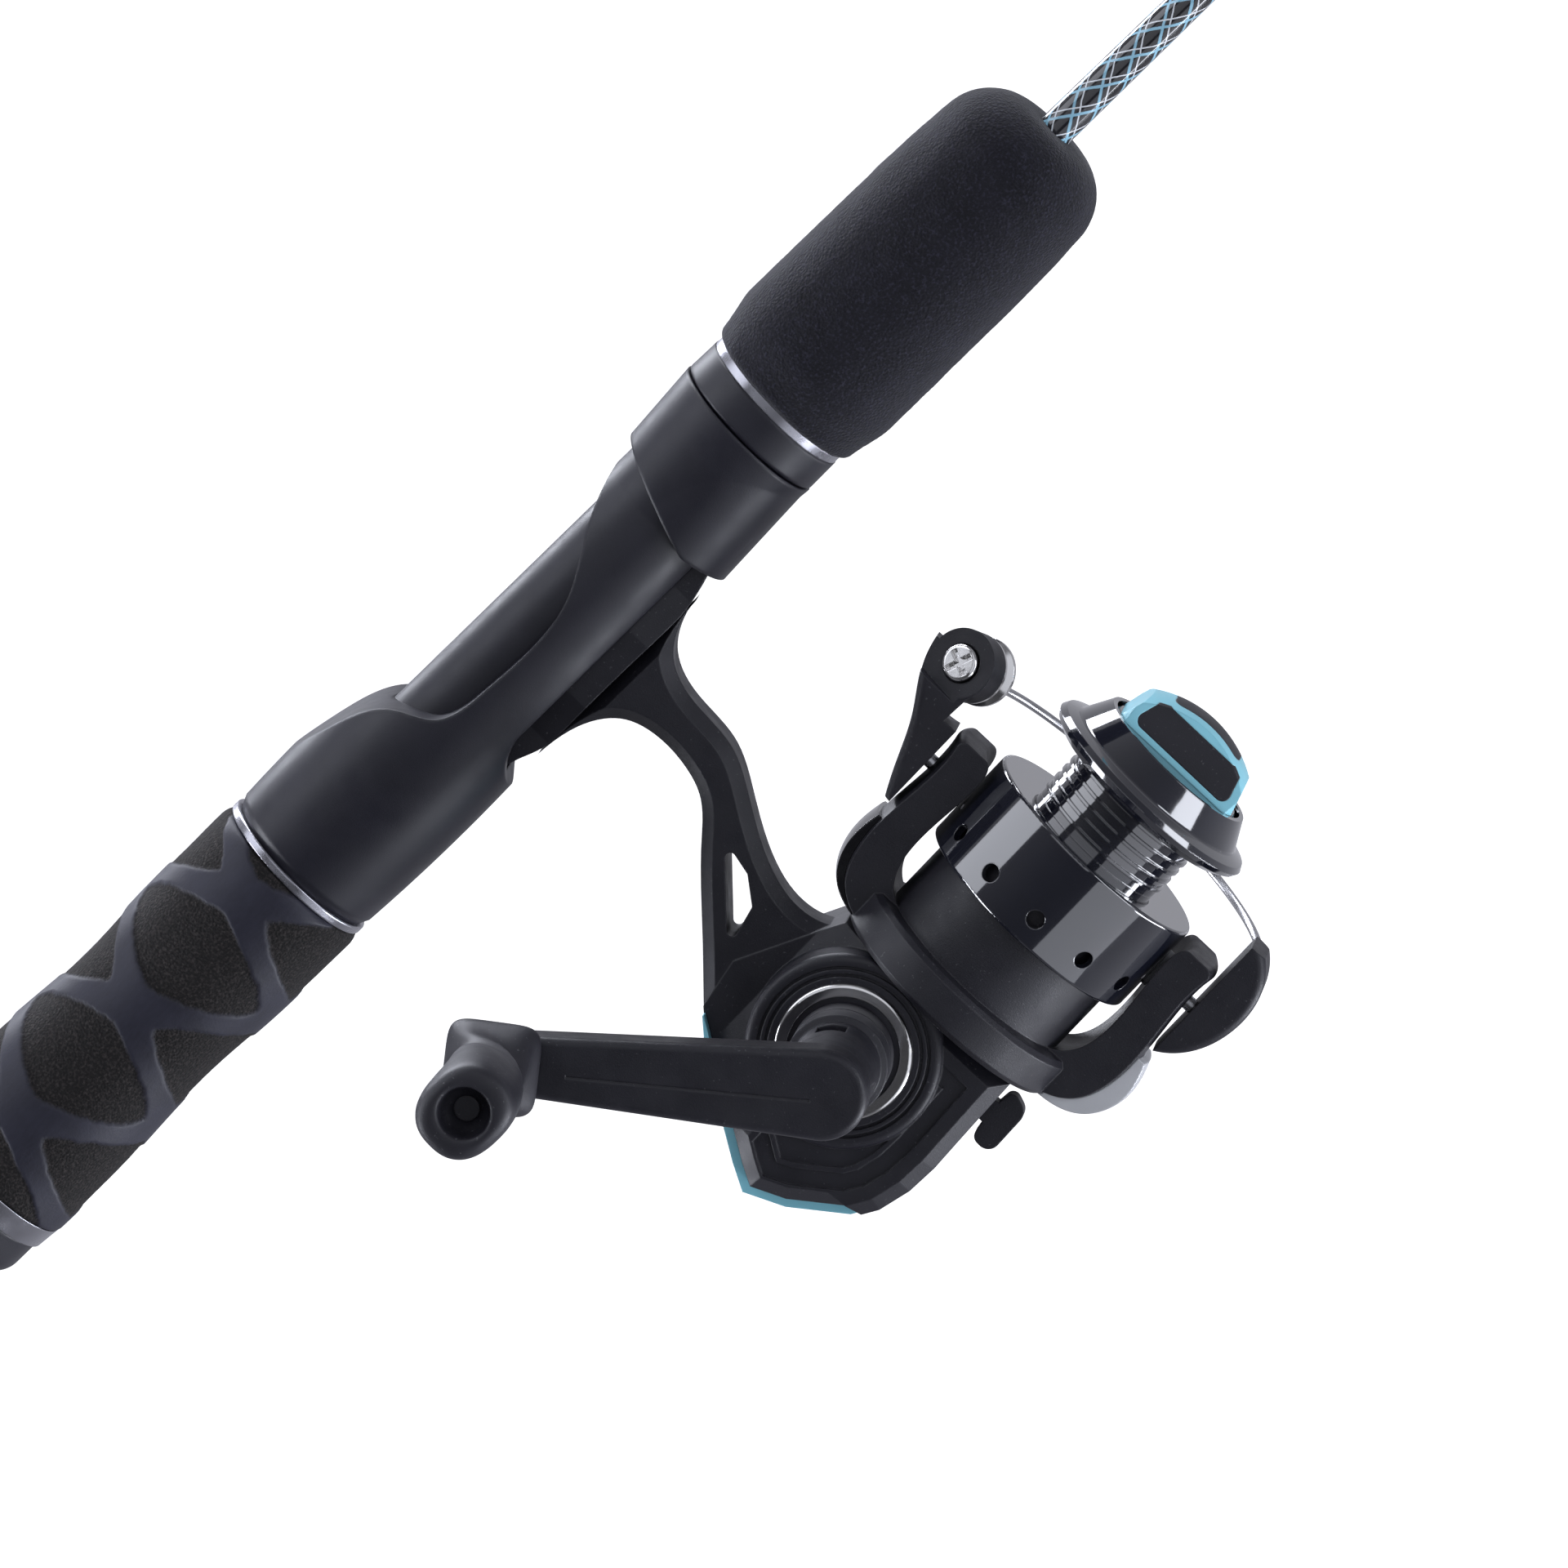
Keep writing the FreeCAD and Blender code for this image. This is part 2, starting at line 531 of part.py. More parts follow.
def bevelled_case(inset):
    """The near half: straight sides, then a flat bevel all round its face."""
    face, bevel = -N.case_half_width, N.case_bevel
    rims = []
    for extra, y in ((0, face + bevel), (bevel, face)):
        corners = [V(x, y, z) for x, z in case_outline(inset + extra)]
        rims.append(Part.makePolygon(corners + corners[:1]))
    straight = case_slab(inset, face + bevel, N.case_half_width - N.case_wall)
    return straight.fuse(Part.makeLoft(rims, True, True))


def shoulder_cut(inset):
    """What is missing from the upper near side, where the case slopes in to the stem."""
    thick, thin = inset - N.case_half_width, inset - N.shoulder_half_width
    corners = [V(-60, -60, 8), V(-60, thick, 8), V(-60, thin, 21), V(-60, thin, 60), V(-60, -60, 60)]
    return Part.Face(Part.makePolygon(corners + corners[:1])).extrude(V(120, 0, 0))


def crank_bar(radius, start, end):
    """A cylinder on the crank's axis between two values of y."""
    return Part.makeCylinder(radius, end - start, V(0, start, N.crank_z), Y_DIR)


def crank_drum():
    """The round housing of the crank's bearing, stepped down to the bezel."""
    face = -N.case_half_width - N.drum_height
    drum = softened(crank_bar(N.drum_radius, face, 0), 1.2, flat_at("y", face))
    for inner in (11.3, 12.4):
        groove = crank_bar(inner + 0.5, face - 1, face + 0.5).cut(crank_bar(inner, face - 2, face + 1))
        drum = drum.cut(groove)
    front = box((N.case_front, -40, -40), (60, 40, 40))
    return drum.cut([front, crank_bar(N.bezel_radius, face - 1, -N.case_half_width)])


def to_rod_frame(shape):
    moved = shape.copy()
    moved.Placement = FreeCAD.Placement(
        V(N.reel_x, 0, N.reel_z), FreeCAD.Rotation(-Y_DIR, N.reel_tilt)).multiply(shape.Placement)
    return moved


def rear_guard_shape():
    half = N.guard_half_width
    shell = case_slab(0, -half, half).cut(case_slab(N.guard_thickness, -20, 20))
    return shell.common(guard_region(-half, half))


def side_panel():
    """The sunk lower side panel with a low ridge that runs along inside its edge."""
    face, floor = -N.case_half_width, -N.case_half_width + N.panel_depth
    edge = N.guard_thickness + N.case_bevel + 0.4
    sunk = case_slab(edge, face - 1, floor)
    ridge = case_slab(edge + 2.6, face + 0.15, floor).cut(case_slab(edge + 3.4, face - 2, floor + 2))
    above = box((-60, -40, 7), (60, 40, 60))
    return sunk.cut([ridge, above, crank_bar(N.drum_radius, -40, 0)])


def reel_body():
    """One casting: the foot, the open stem and the near half of the gear case."""
    half, wall = N.case_half_width, N.case_wall
    region = guard_region(-20, 20)
    outer = bevelled_case(0).cut(region).fuse(bevelled_case(N.guard_thickness).common(region))
    outer = outer.cut([shoulder_cut(0), side_panel()]).fuse(crank_drum())
    cavity = case_slab(wall, -half + wall, half).cut(region.translated(V(wall, 0, 0)))
    cavity = cavity.fuse(case_slab(N.guard_thickness + wall, -half + wall, half))
    drum_room = crank_bar(N.drum_radius - wall, -half + wall, 0).cut(
        box((N.case_front - wall, -40, -40), (60, 40, 40)))
    cavity = cavity.cut(shoulder_cut(wall)).fuse(drum_room).removeSplitter()
    neck = Part.makeCylinder(N.neck_radius, N.neck_end - N.case_front + 2,
                             V(N.case_front - 2, 0, 0), X_DIR)
    bearing_seat = Part.makeCylinder(7.0, 12, V(N.case_front - 2.2, 0, 0), X_DIR)
    crank_boss = crank_bar(N.bezel_bore, -half - 1.0, -half)
    crank_hole = crank_bar(5.5, -half - 2, -half + 6)
    lever_slot = box((3.4, -4.6, -20), (8.6, 4.6, -N.case_half_width + 1.6))
    case = outer.fuse([neck, crank_boss]).cut([cavity, bearing_seat, crank_hole, lever_slot])
    posts = [Part.makeCylinder(2.2, 2 * half - 2 * wall, V(x, -half + wall, z), Y_DIR)
             for x, z in CASE_SCREWS]
    holes = [Part.makeCylinder(0.8, 9, V(x, half - wall, z), -Y_DIR) for x, z in CASE_SCREWS]
    case = case.fuse([post.common(outer) for post in posts]).cut(holes)

    stem_edges = [curve(STEM_REAR), line(STEM_REAR[-1], (114.0, -70.0)),
                  line((114.0, -70.0), (130.0, -70.0)), line((130.0, -70.0), STEM_FRONT[-1]),
                  curve(STEM_FRONT), line(STEM_FRONT[0], STEM_REAR[0])]
    stem = slab(stem_edges, -N.stem_half_width, N.stem_half_width)
    stem = bevelled_stem(stem)
    opening = slab([line((125.8, -40.6), (124.6, -46.6)), line((124.6, -46.6), (121.6, -50.6)),
                    line((121.6, -50.6), (114.4, -52.6)), line((114.4, -52.6), (125.8, -40.6))],
                   -20, 20)
    opening = softened(opening, 0.8, lambda edge: abs(edge.BoundBox.YLength - 40) < 0.1)
    inner = to_rod_frame(cavity.fuse([bearing_seat]))
    rotor_room = Part.makeCylinder(29.5, 60, V(N.case_front, 0, 0), X_DIR)
    guard_room = region.cut(case_slab(N.guard_thickness, -30, 30))
    upper = stem.fuse(foot_shape()).cut([opening, inner, to_rod_frame(rotor_room),
                                         to_rod_frame(guard_room.common(case_slab(0, -20, 20)))])
    shaped("reel_body", "rod", biggest(to_rod_frame(case).fuse(upper).removeSplitter()))


def biggest(shape):
    return max(shape.Solids, key=lambda solid: solid.Volume)


def bevelled_stem(stem):
    half = N.stem_half_width
    edges = [edge for edge in stem.Edges if edge.Length > 20 and (
        flat_at("y", -half)(edge) or flat_at("y", half)(edge))]
    return stem.makeChamfer(N.stem_bevel, edges)


def foot_shape():
    """The flat foot that the seat's saddle and hoods clamp, thin and narrow at both ends."""
    half, narrow, top = N.foot_half_width, N.foot_end_half_width, N.saddle_z
    rear, front, low = N.foot_rear, N.foot_front, N.saddle_z - N.foot_thickness
    side = slab([line((rear, top), (rear, top - 1.3)),
                 curve([(rear, top - 1.3), (rear + 4, top - 1.6), (rear + 8, top - 2.4),
                        (rear + 11, top - 3.5), (rear + 18, low), (front - 20, low),
                        (front - 13, top - 3.7), (front - 9, top - 2.6), (front, top - 1.4)]),
                 line((front, top - 1.4), (front, top)),
                 line((front, top), (rear, top))], -half, half)
    outline = [(rear, narrow - 1.6), (rear + 2, narrow - 0.3), (rear + 13, narrow), (rear + 21, half),
               (front - 22, half), (front - 13, narrow), (front - 2, narrow - 0.3),
               (front, narrow - 1.6)]
    corners = [V(x, y, -40) for x, y in outline] + [V(x, -y, -40) for x, y in reversed(outline)]
    plan = Part.Face(Part.makePolygon(corners + corners[:1])).extrude(V(0, 0, 80))
    return side.common(plan)


CASE_SCREWS = [(-12.0, 17.0), (-20.6, 2.6), (-3.5, -11.2)]


def covers():
    half, wall = N.case_half_width, N.case_wall
    region = guard_region(-20, 20)
    rims = []
    for inset, y in ((0, half - wall), (N.guard_thickness, half)):
        corners = [V(x, y, z) for x, z in case_outline(inset)]
        rims.append(Part.makePolygon(corners + corners[:1]))
    cover = Part.makeLoft(rims, True, True).cut(region).fuse(
        case_slab(N.guard_thickness, half - wall, half).common(region))
    cover = cover.fuse(crank_bar(8.0, half, half + 1.2)).removeSplitter()
    holes = [Part.makeCylinder(1.0, 9, V(x, half - 4, z), Y_DIR) for x, z in CASE_SCREWS]
    sinks = [Part.makeCylinder(1.9, 9, V(x, half - 0.9, z), Y_DIR) for x, z in CASE_SCREWS]
    crank_hole = crank_bar(5.5, half - 5, half + 7)
    shaped("side_cover", "reel", biggest(cover.cut(holes + sinks + [crank_hole])))
    screws = []
    for x, z in CASE_SCREWS:
        shank = Part.makeCylinder(0.8, 7.0, V(x, half - 7.9, z), Y_DIR)
        head = Part.makeCylinder(1.85, 0.8, V(x, half - 0.9, z), Y_DIR)
        slot = box((x - 1.1, half - 0.5, z - 0.2), (x + 1.1, half + 1, z + 0.2))
        cross = box((x - 0.2, half - 0.5, z - 1.1), (x + 0.2, half + 1, z + 1.1))
        screws.append(shank.fuse(head).cut([slot, cross]))
    shaped("cover_screws", "reel", Part.makeCompound(screws))
    guard = rear_guard_shape()
    spot, inward = V(-22.3, 0, -5.7), V(0.8, 0, 0.6)
    shank = Part.makeCylinder(0.9, 4.0, spot - inward * 0.4, inward)
    guard = guard.cut(shank)
    head = Part.makeCylinder(1.8, 1.2, spot - inward * 1.2, inward)
    head = head.cut(guard)
    shaped("rear_guard", "reel", biggest(guard))
    pin = Part.makeCylinder(0.9, 1.7, spot - inward * 0.2, inward)
    shaped("guard_screw", "reel", biggest(head.fuse(pin)))
    face = N.case_half_width + 1.0
    turned("crank_bezel", "reel", [
        (face - 1.0, S.bezel_bore), (face - 1.0, S.bezel_radius), (face + 0.3, S.bezel_radius),
        (face + 0.3, S.bezel_bore)], at=(0, 0, S.crank_z), along=-Y_DIR, up=Z_DIR, rounds={2: 0.6})


# ---------------------------------------------------------------- gear train

def involute_gear(teeth, module, width, phase=0.0, backlash=0.12):
    """A spur gear about the Y axis, from y = 0 to y = width, with involute flanks."""
    pitch = module * teeth / 2
    base, tip, root = pitch * math.cos(math.radians(20)), pitch + 0.9 * module, pitch - 1.25 * module
    half_tooth = math.pi / (2 * teeth) - backlash / (2 * pitch)
    lean = math.tan(math.acos(base / pitch)) - math.acos(base / pitch)

    def flank(radius):
        press = math.acos(min(1.0, base / radius))
        return half_tooth + lean - (math.tan(press) - press)

    points = []
    for tooth in range(teeth):
        centre = 2 * math.pi * tooth / teeth + phase
        low = max(base, root)
        steps = [(root, flank(low)), (low, flank(low)), ((low + tip) / 2, flank((low + tip) / 2)),
                 (tip, flank(tip))]
        if root >= base:
            steps = steps[1:]
        for radius, angle in steps:
            points.append((radius, centre - angle))
        for radius, angle in reversed(steps):
            points.append((radius, centre + angle))
    corners = [V(r * math.cos(a), 0, r * math.sin(a)) for r, a in points]
    return Part.Face(Part.makePolygon(corners + corners[:1])).extrude(V(0, width, 0))


def face_gear_teeth(radius_in, radius_out, teeth, height):
    """Radial ridges that stand up from the drive gear's face towards the pinion."""
    ridges = []
    for tooth in range(teeth):
        ridge = box((radius_in, 0, -0.45), (radius_out, height, 0.45))
        ridge.rotate(V(0, 0, 0), Y_DIR, 360 * tooth / teeth)
        ridges.append(ridge)
    return ridges


def gear_train():
    drive_face = -N.pinion_radius - 0.3
    hub = Part.makeCylinder(5.0, 3.6, V(0, drive_face - 3.8, 0), Y_DIR)
    disc = Part.makeCylinder(N.drive_gear_radius, 2.0, V(0, drive_face - 2.8, 0), Y_DIR)
    ridges = face_gear_teeth(N.drive_gear_radius - 2.8, N.drive_gear_radius, int(N.drive_teeth), 0.75)
    for ridge in ridges:
        ridge.translate(V(0, drive_face - 0.85, 0))
    bore = Part.makeCylinder(N.crank_shaft_radius, 20, V(0, -15, 0), Y_DIR)
    gear = disc.fuse(ridges + [hub]).cut(bore)
    gear.translate(V(0, 0, N.crank_z))
    shaped("drive_gear", "reel", gear)

    spacing = N.gear_module * (N.small_gear_teeth + N.osc_gear_teeth) / 2
    lean = math.radians(220)
    far = V(spacing * math.cos(lean), 0, spacing * math.sin(lean))
    small_phase = lean
    osc_phase = lean + math.pi + math.pi / N.osc_gear_teeth
    small = involute_gear(int(N.small_gear_teeth), N.gear_module, N.gear_width, small_phase)
    small = small.cut(bore)
    small.translate(V(0, 4.6, N.crank_z))
    shaped("oscillation_drive_gear", "reel", small)
    axle_spot = far + V(0, 0, N.crank_z)
    osc = involute_gear(int(N.osc_gear_teeth), N.gear_module, N.gear_width, osc_phase)
    osc = osc.cut(Part.makeCylinder(1.5 + N.running_gap, 8, V(0, -2, 0), Y_DIR))
    pin = Part.makeCylinder(1.1, 0.7, V(N.osc_pin_offset, -0.7, 0), Y_DIR)
    osc = osc.fuse(pin)
    osc.translate(axle_spot + V(0, 4.6, 0))
    shaped("oscillation_gear", "reel", osc)
    axle = Part.makeCylinder(1.5, N.case_half_width - N.case_wall - 4.6,
                             axle_spot + V(0, 4.6, 0), Y_DIR)
    shaped("oscillation_axle", "reel", axle)
    return axle_spot


def crank_shaft():
    low = -N.arm_face + N.arm_thickness
    high = N.case_half_width + 2.2
    shaft = Part.makeCylinder(N.crank_shaft_radius, high - low, V(0, low, N.crank_z), Y_DIR)
    thread = Part.makeCylinder(1.6, 6, V(0, high - 5, N.crank_z), Y_DIR)
    shaped("crank_shaft", "reel", shaft.cut(thread))
    bushes = []
    for start in (-N.case_half_width - 0.9, N.case_half_width - 2.0):
        bush = Part.makeCylinder(5.5, 3.0, V(0, start, N.crank_z), Y_DIR)
        bushes.append(bush.cut(Part.makeCylinder(
            N.crank_shaft_radius + N.running_gap, 9, V(0, start - 3, N.crank_z), Y_DIR)))
    shaped("crank_bearings", "reel", Part.makeCompound(bushes))
    cap_start = high + 0.1
    cap = Part.makeCylinder(6.2, 2.4, V(0, cap_start, N.crank_z), Y_DIR)
    cap = softened(cap, 1.0, flat_at("y", cap_start + 2.4))
    stud = Part.makeCylinder(1.6, 4.6, V(0, cap_start - 4.6, N.crank_z), Y_DIR)
    slot = box((-4.2, cap_start + 1.4, N.crank_z - 0.7), (4.2, cap_start + 3, N.crank_z + 0.7))
    shaped("crank_cap_screw", "reel", cap.fuse(stud).cut(slot))


def main_shaft(axle_spot):
    turned("main_shaft", "reel", [
        (S.shaft_rear, 0), (S.shaft_rear, S.shaft_radius), (S.shaft_front, S.shaft_radius),
        (S.shaft_front, 0)], rounds={2: 0.5})
    rear = N.shaft_rear
    slot_x = axle_spot.x + N.osc_pin_offset
    block = box((rear, -3.4, -3.4), (slot_x - 1.5, 3.6, 3.4))
    plate = box((slot_x - 3.2, 2.4, -8.2), (slot_x + 3.1, 3.6, 4.8))
    slot = box((slot_x - 1.35, 0, -7.2), (slot_x + 1.35, 9, 3.5))
    bore = Part.makeCylinder(N.shaft_radius, 40, V(rear - 9, 0, 0), X_DIR)
    slider = softened(plate, 1.0, lambda edge: abs(edge.BoundBox.YLength - 1.2) < 0.01)
    slider = slider.fuse(block).cut([slot, bore])
    shaped("oscillation_slider", "reel", biggest(slider))


def pinion():
    """The helical pinion and its long sleeve, which carries the rotor."""
    teeth, root, tip = int(N.pinion_teeth), N.pinion_root, N.pinion_radius
    length = N.pinion_tooth_end - N.pinion_rear
    body = Part.makeCylinder(root, length, V(N.pinion_rear, 0, 0), X_DIR)
    sections = []
    for step in range(4):
        x = N.pinion_rear + length * step / 3
        star = []
        for tooth in range(teeth):
            middle = 2 * math.pi * tooth / teeth + 0.5 * step
            for radius, side in ((root - 0.6, -0.42), (tip, -0.2), (tip, 0.2), (root - 0.6, 0.42)):
                star.append(V(x, radius * math.cos(middle + side), radius * math.sin(middle + side)))
        sections.append(Part.makePolygon(star + star[:1]))
    toothed = Part.makeLoft(sections, True, True)
    sleeve = Part.makeCylinder(N.sleeve_radius, N.sleeve_end - N.pinion_tooth_end,
                               V(N.pinion_tooth_end, 0, 0), X_DIR)
    bore = Part.makeCylinder(N.shaft_radius + N.running_gap, 60, V(-10, 0, 0), X_DIR)
    shaped("pinion", "reel", body.fuse([toothed, sleeve]).cut(bore))
    start = N.case_front - 0.8
    turned("pinion_bearing", "reel", [
        (start, S.sleeve_radius + S.running_gap), (start, 7.0), (start + 2.6, 7.0),
        (start + 2.6, S.sleeve_radius + S.running_gap)], rounds={1: 0.3, 2: 0.3})
    turned("one_way_clutch", "reel", [
        (start + 2.8, S.sleeve_radius + S.running_gap), (start + 2.8, 7.0), (S.neck_end - 0.1, 7.0),
        (S.neck_end - 0.1, S.sleeve_radius + S.running_gap)])


def anti_reverse_lever():
    """A paddle under the case on a short shaft that lies along the case floor."""
    piece = Piece("anti_reverse_lever", "reel")
    piece.extrude(3.0, at=(0, 1.5, 0), h_dir=X_DIR, v_dir=Z_DIR, outline=[
        (1.2, -20.2), (9.6, -20.0), (11.0, -16.2), (8.0, -15.9), (7.9, -12.2), (4.4, -12.2),
        (4.2, -16.1), (1.4, -16.5)], rounds={0: 1.9, 1: 2.0, 2: 1.2, 7: 1.4})
    piece.extrude(7.4, at=(2.3, 0, -11.9), h_dir=Y_DIR, v_dir=Z_DIR, circle=(0, 0, 0.9))


# ---------------------------------------------------------------- rotor and bail

def turned_shape(points):
    corners = [V(x, 0, r) for x, r in points]
    return Part.Face(Part.makePolygon(corners + corners[:1])).revolve(V(0, 0, 0), X_DIR, 360)


def arm_ring(grow):
    """The ring whose slices are the rotor's arms; grow thickens its rear and outer side."""
    rear, outer = N.rotor_rear, N.arm_outer
    back = [(rear + 1.0 - 0.1 * grow, 16.0), (rear + 1.3 - 0.35 * grow, 20.4),
            (rear + 3.8 - 0.4 * grow, 24.0 + 0.9 * grow), (rear + 8.6, outer - 0.3 + 1.15 * grow),
            (rear + 14.5, outer + 0.1 + 0.5 * grow), (N.arm_end, outer)]
    front = [(N.arm_end, N.arm_inner), (N.rotor_disc_end + 6, N.arm_inner - 0.8),
             (N.rotor_disc_end + 1.5, 18.4), (N.rotor_disc_end, 16.0)]
    profile = Part.Wire([curve(back), line(back[-1], front[0]), curve(front), line(front[-1], back[0])])
    return Part.Face(profile).revolve(V(0, 0, 0), X_DIR, 360)


def rotor():
    rear, end, wall = N.rotor_rear, N.rotor_disc_end, N.rotor_wall
    disc = turned_shape([(rear, 16.8), (rear, 19.2), (rear + 0.8, N.rotor_disc_radius),
                         (end - 0.8, N.rotor_disc_radius), (end, N.rotor_disc_radius - 0.8),
                         (end, N.cup_radius), (N.cup_end, N.cup_radius),
                         (N.cup_end, N.cup_radius - wall), (end + 2.0, N.cup_radius - wall),
                         (end + 2.0, N.sleeve_radius), (end - 0.6, N.sleeve_radius),
                         (end - 0.6, 15.2), (rear, 15.2)])
    half = N.arm_half_width
    arms = arm_ring(0).common(box((0, -half, -40), (60, half, 40)))
    body = disc.fuse(arms.Solids)
    slots = []
    for side in (-1, 1):
        slots.append(Part.makeCylinder(1.2, 8, V(N.pivot_x, 0, side * (N.arm_inner + 0.3)), Z_DIR * side))
        slots.append(Part.makeCylinder(2.4, 1.6, V(N.pivot_x, 0, side * (N.arm_inner - 1.0)), Z_DIR * side))
    body = body.cut(slots).removeSplitter()
    body = softened(body, 1.2, lambda edge: (
        flat_at("x", N.arm_end)(edge) and edge.BoundBox.YLength > 5))
    shaped("rotor", "reel", biggest(body))
    turned("rotor_nut", "reel", [
        (end + 2.05, S.sleeve_radius), (end + 2.05, 6.4), (end + 4.8, 6.4),
        (end + 4.8, S.sleeve_radius)], rounds={1: 0.4, 2: 0.4})
    cover_half = half - 1.0
    for side, name, thickness in ((1, "arm_cover_upper", N.upper_cover),
                                  (-1, "arm_cover_lower", N.lower_cover)):
        grown = arm_ring(thickness).cut(arm_ring(0))
        region = box((rear, -cover_half, 18.0), (N.cover_front, cover_half, 40))
        cover = biggest(grown.common(region).cut(disc))
        if side < 0:
            cover = cover.rotated(V(0, 0, 0), X_DIR, 180)
        shaped(name, "reel", cover)
    screws = []
    for side in (-1, 1):
        shank = Part.makeCylinder(1.15, N.arm_outer - N.arm_inner + 2.2,
                                  V(N.pivot_x, 0, side * (N.arm_inner + 0.4)), Z_DIR * side)
        head = Part.makeCylinder(2.3, 1.3, V(N.pivot_x, 0, side * (N.arm_inner - 0.9)), Z_DIR * side)
        screws.append(shank.fuse(head))
    shaped("pivot_screws", "reel", Part.makeCompound(screws))


def roller_direction():
    lean = math.radians(N.roller_tilt)
    return V(0, math.cos(lean), -math.sin(lean))


def bail():
    """The two levers, the wire between them, and the roller with its screw."""
    base = N.arm_outer + N.fit_gap + 0.1
    boss = V(N.boss_x, N.boss_y, N.boss_z)
    axis = roller_direction()
    heel, toe = (N.pivot_x - 7.6, base), (N.pivot_x + 6.8, base)
    back = [(N.pivot_x - 7.6, base + 1.0), (N.pivot_x - 3.0, base + 3.2),
            (N.pivot_x + 4.0, base + 6.4), (N.boss_x - 4.2, N.boss_z + 4.0),
            (N.boss_x, N.boss_z + N.boss_radius - 0.1)]
    under = (N.boss_x, N.boss_z - N.boss_radius + 0.9)
    throat = (N.pivot_x + 6.8, base + 2.4)
    plate = slab([line(heel, back[0]), curve(back), line(back[-1], under), line(under, throat),
                  line(throat, toe), line(toe, heel)], -5.6, 3.6)
    boss_bar = Part.makeCylinder(N.boss_radius, 4.2, boss, axis)
    room = Part.makeCylinder(N.boss_radius + 3.0, 20, boss + axis * 4.2, axis)
    front = Part.makeCylinder(N.boss_radius + 6.0, 8, boss, -axis)
    front = front.common(box((N.boss_x - 4.8, -30, 0), (80, 30, 80)))
    plate = softened(plate, 1.4, lambda edge: edge.Length > 6 and (
        flat_at("y", -5.6)(edge) or flat_at("y", 3.6)(edge)) and edge.BoundBox.ZMax > base + 3)
    arm = plate.fuse(boss_bar).cut([room, front])
    pivot_hole = Part.makeCylinder(1.15 + N.running_gap, 3.6, V(N.pivot_x, 0, base - 1), Z_DIR)
    screw_hole = Part.makeCylinder(1.2, 5.4, boss - axis * 0.6, axis)
    head_seat = Part.makeCylinder(3.0, 2.0, boss - axis * 0.9, axis)
    arm = arm.cut([pivot_hole, screw_hole, head_seat])
    shaped("bail_arm", "reel", biggest(arm))

    lever = slab([line((N.pivot_x - 8.2, -base), (N.pivot_x + 13.4, -base)),
                  line((N.pivot_x + 13.4, -base), (N.pivot_x + 13.4, -base - 2.6)),
                  curve([(N.pivot_x + 13.4, -base - 2.6), (N.pivot_x + 9.0, -base - 5.8),
                         (N.pivot_x + 3.0, -base - 6.6), (N.pivot_x - 4.0, -base - 4.4),
                         (N.pivot_x - 8.2, -base)])], -4.8, 4.8)
    lever = softened(lever, 1.2, lambda edge: edge.Length > 15 and edge.BoundBox.ZLength > 3)
    lever = lever.cut(Part.makeCylinder(1.15 + N.running_gap, 3.6, V(N.pivot_x, 0, -base + 1), -Z_DIR))
    shaped("bail_lever", "reel", lever)

    start = boss + axis * 8.2
    cone = Part.makeCone(4.4, 1.3, 4.6, start, axis)
    post = Part.makeCylinder(1.95, 4.0, boss + axis * 4.2, axis)
    top = V(N.bail_loop_x, N.bail_loop_y, N.bail_loop_radius)
    side = V(N.bail_loop_x, N.bail_loop_y + N.bail_loop_radius, 0)
    bottom = V(N.bail_loop_x, N.bail_loop_y, -N.bail_loop_radius)
    loop = Part.Arc(top, side, bottom).toShape()
    profile = Part.Wire(Part.makeCircle(N.bail_wire_radius, top, Y_DIR))
    wire = Part.Wire([loop]).makePipeShell([profile], True, False)
    tip = start + axis * 4.4
    joint = rod_bar(N.bail_wire_radius, tip, top)
    ball = Part.makeSphere(N.bail_wire_radius, top)
    low_ball = Part.makeSphere(N.bail_wire_radius, bottom)
    root = rod_bar(N.bail_wire_radius, bottom, (N.bail_loop_x - 1.5, 2.0, -base - 2.6))
    whole = wire.fuse([ball, low_ball, joint, root, cone, post]).cut(
        [lever, Part.makeCylinder(1.2, 9.0, boss + axis * 3.0, axis)])
    shaped("bail_wire", "reel", biggest(whole))

    roller_start = boss + axis * 4.35
    piece = Piece("line_roller", "reel")
    outline = [(0, 2.0), (0, S.roller_radius), (0.6, S.roller_radius), (1.2, S.roller_radius - 1.2),
               (2.5, S.roller_radius - 1.2), (3.1, S.roller_radius), (3.7, S.roller_radius), (3.7, 2.0)]
    piece.turn(outline, at=tuple(roller_start), along=axis, up=X_DIR)

    shank = Part.makeCylinder(1.15, 8.2, boss - axis * 0.2, axis)
    head = Part.makeCylinder(2.8, 1.1, boss - axis * 0.9, axis)
    head = softened(head, 0.5, lambda edge: edge.CenterOfMass.y < boss.y - 0.7)
    for turn in (0, 90):
        slot = box((-2.1, -0.45, -0.8), (2.1, 0.45, 0.8))
        slot.Placement = FreeCAD.Placement(boss - axis * 0.9, FreeCAD.Rotation(Z_DIR, axis).multiply(
            FreeCAD.Rotation(Z_DIR, turn + 20)))
        head = head.cut(slot)
    shaped("roller_screw", "reel", biggest(head.fuse(shank)))


# ---------------------------------------------------------------- spool and drag

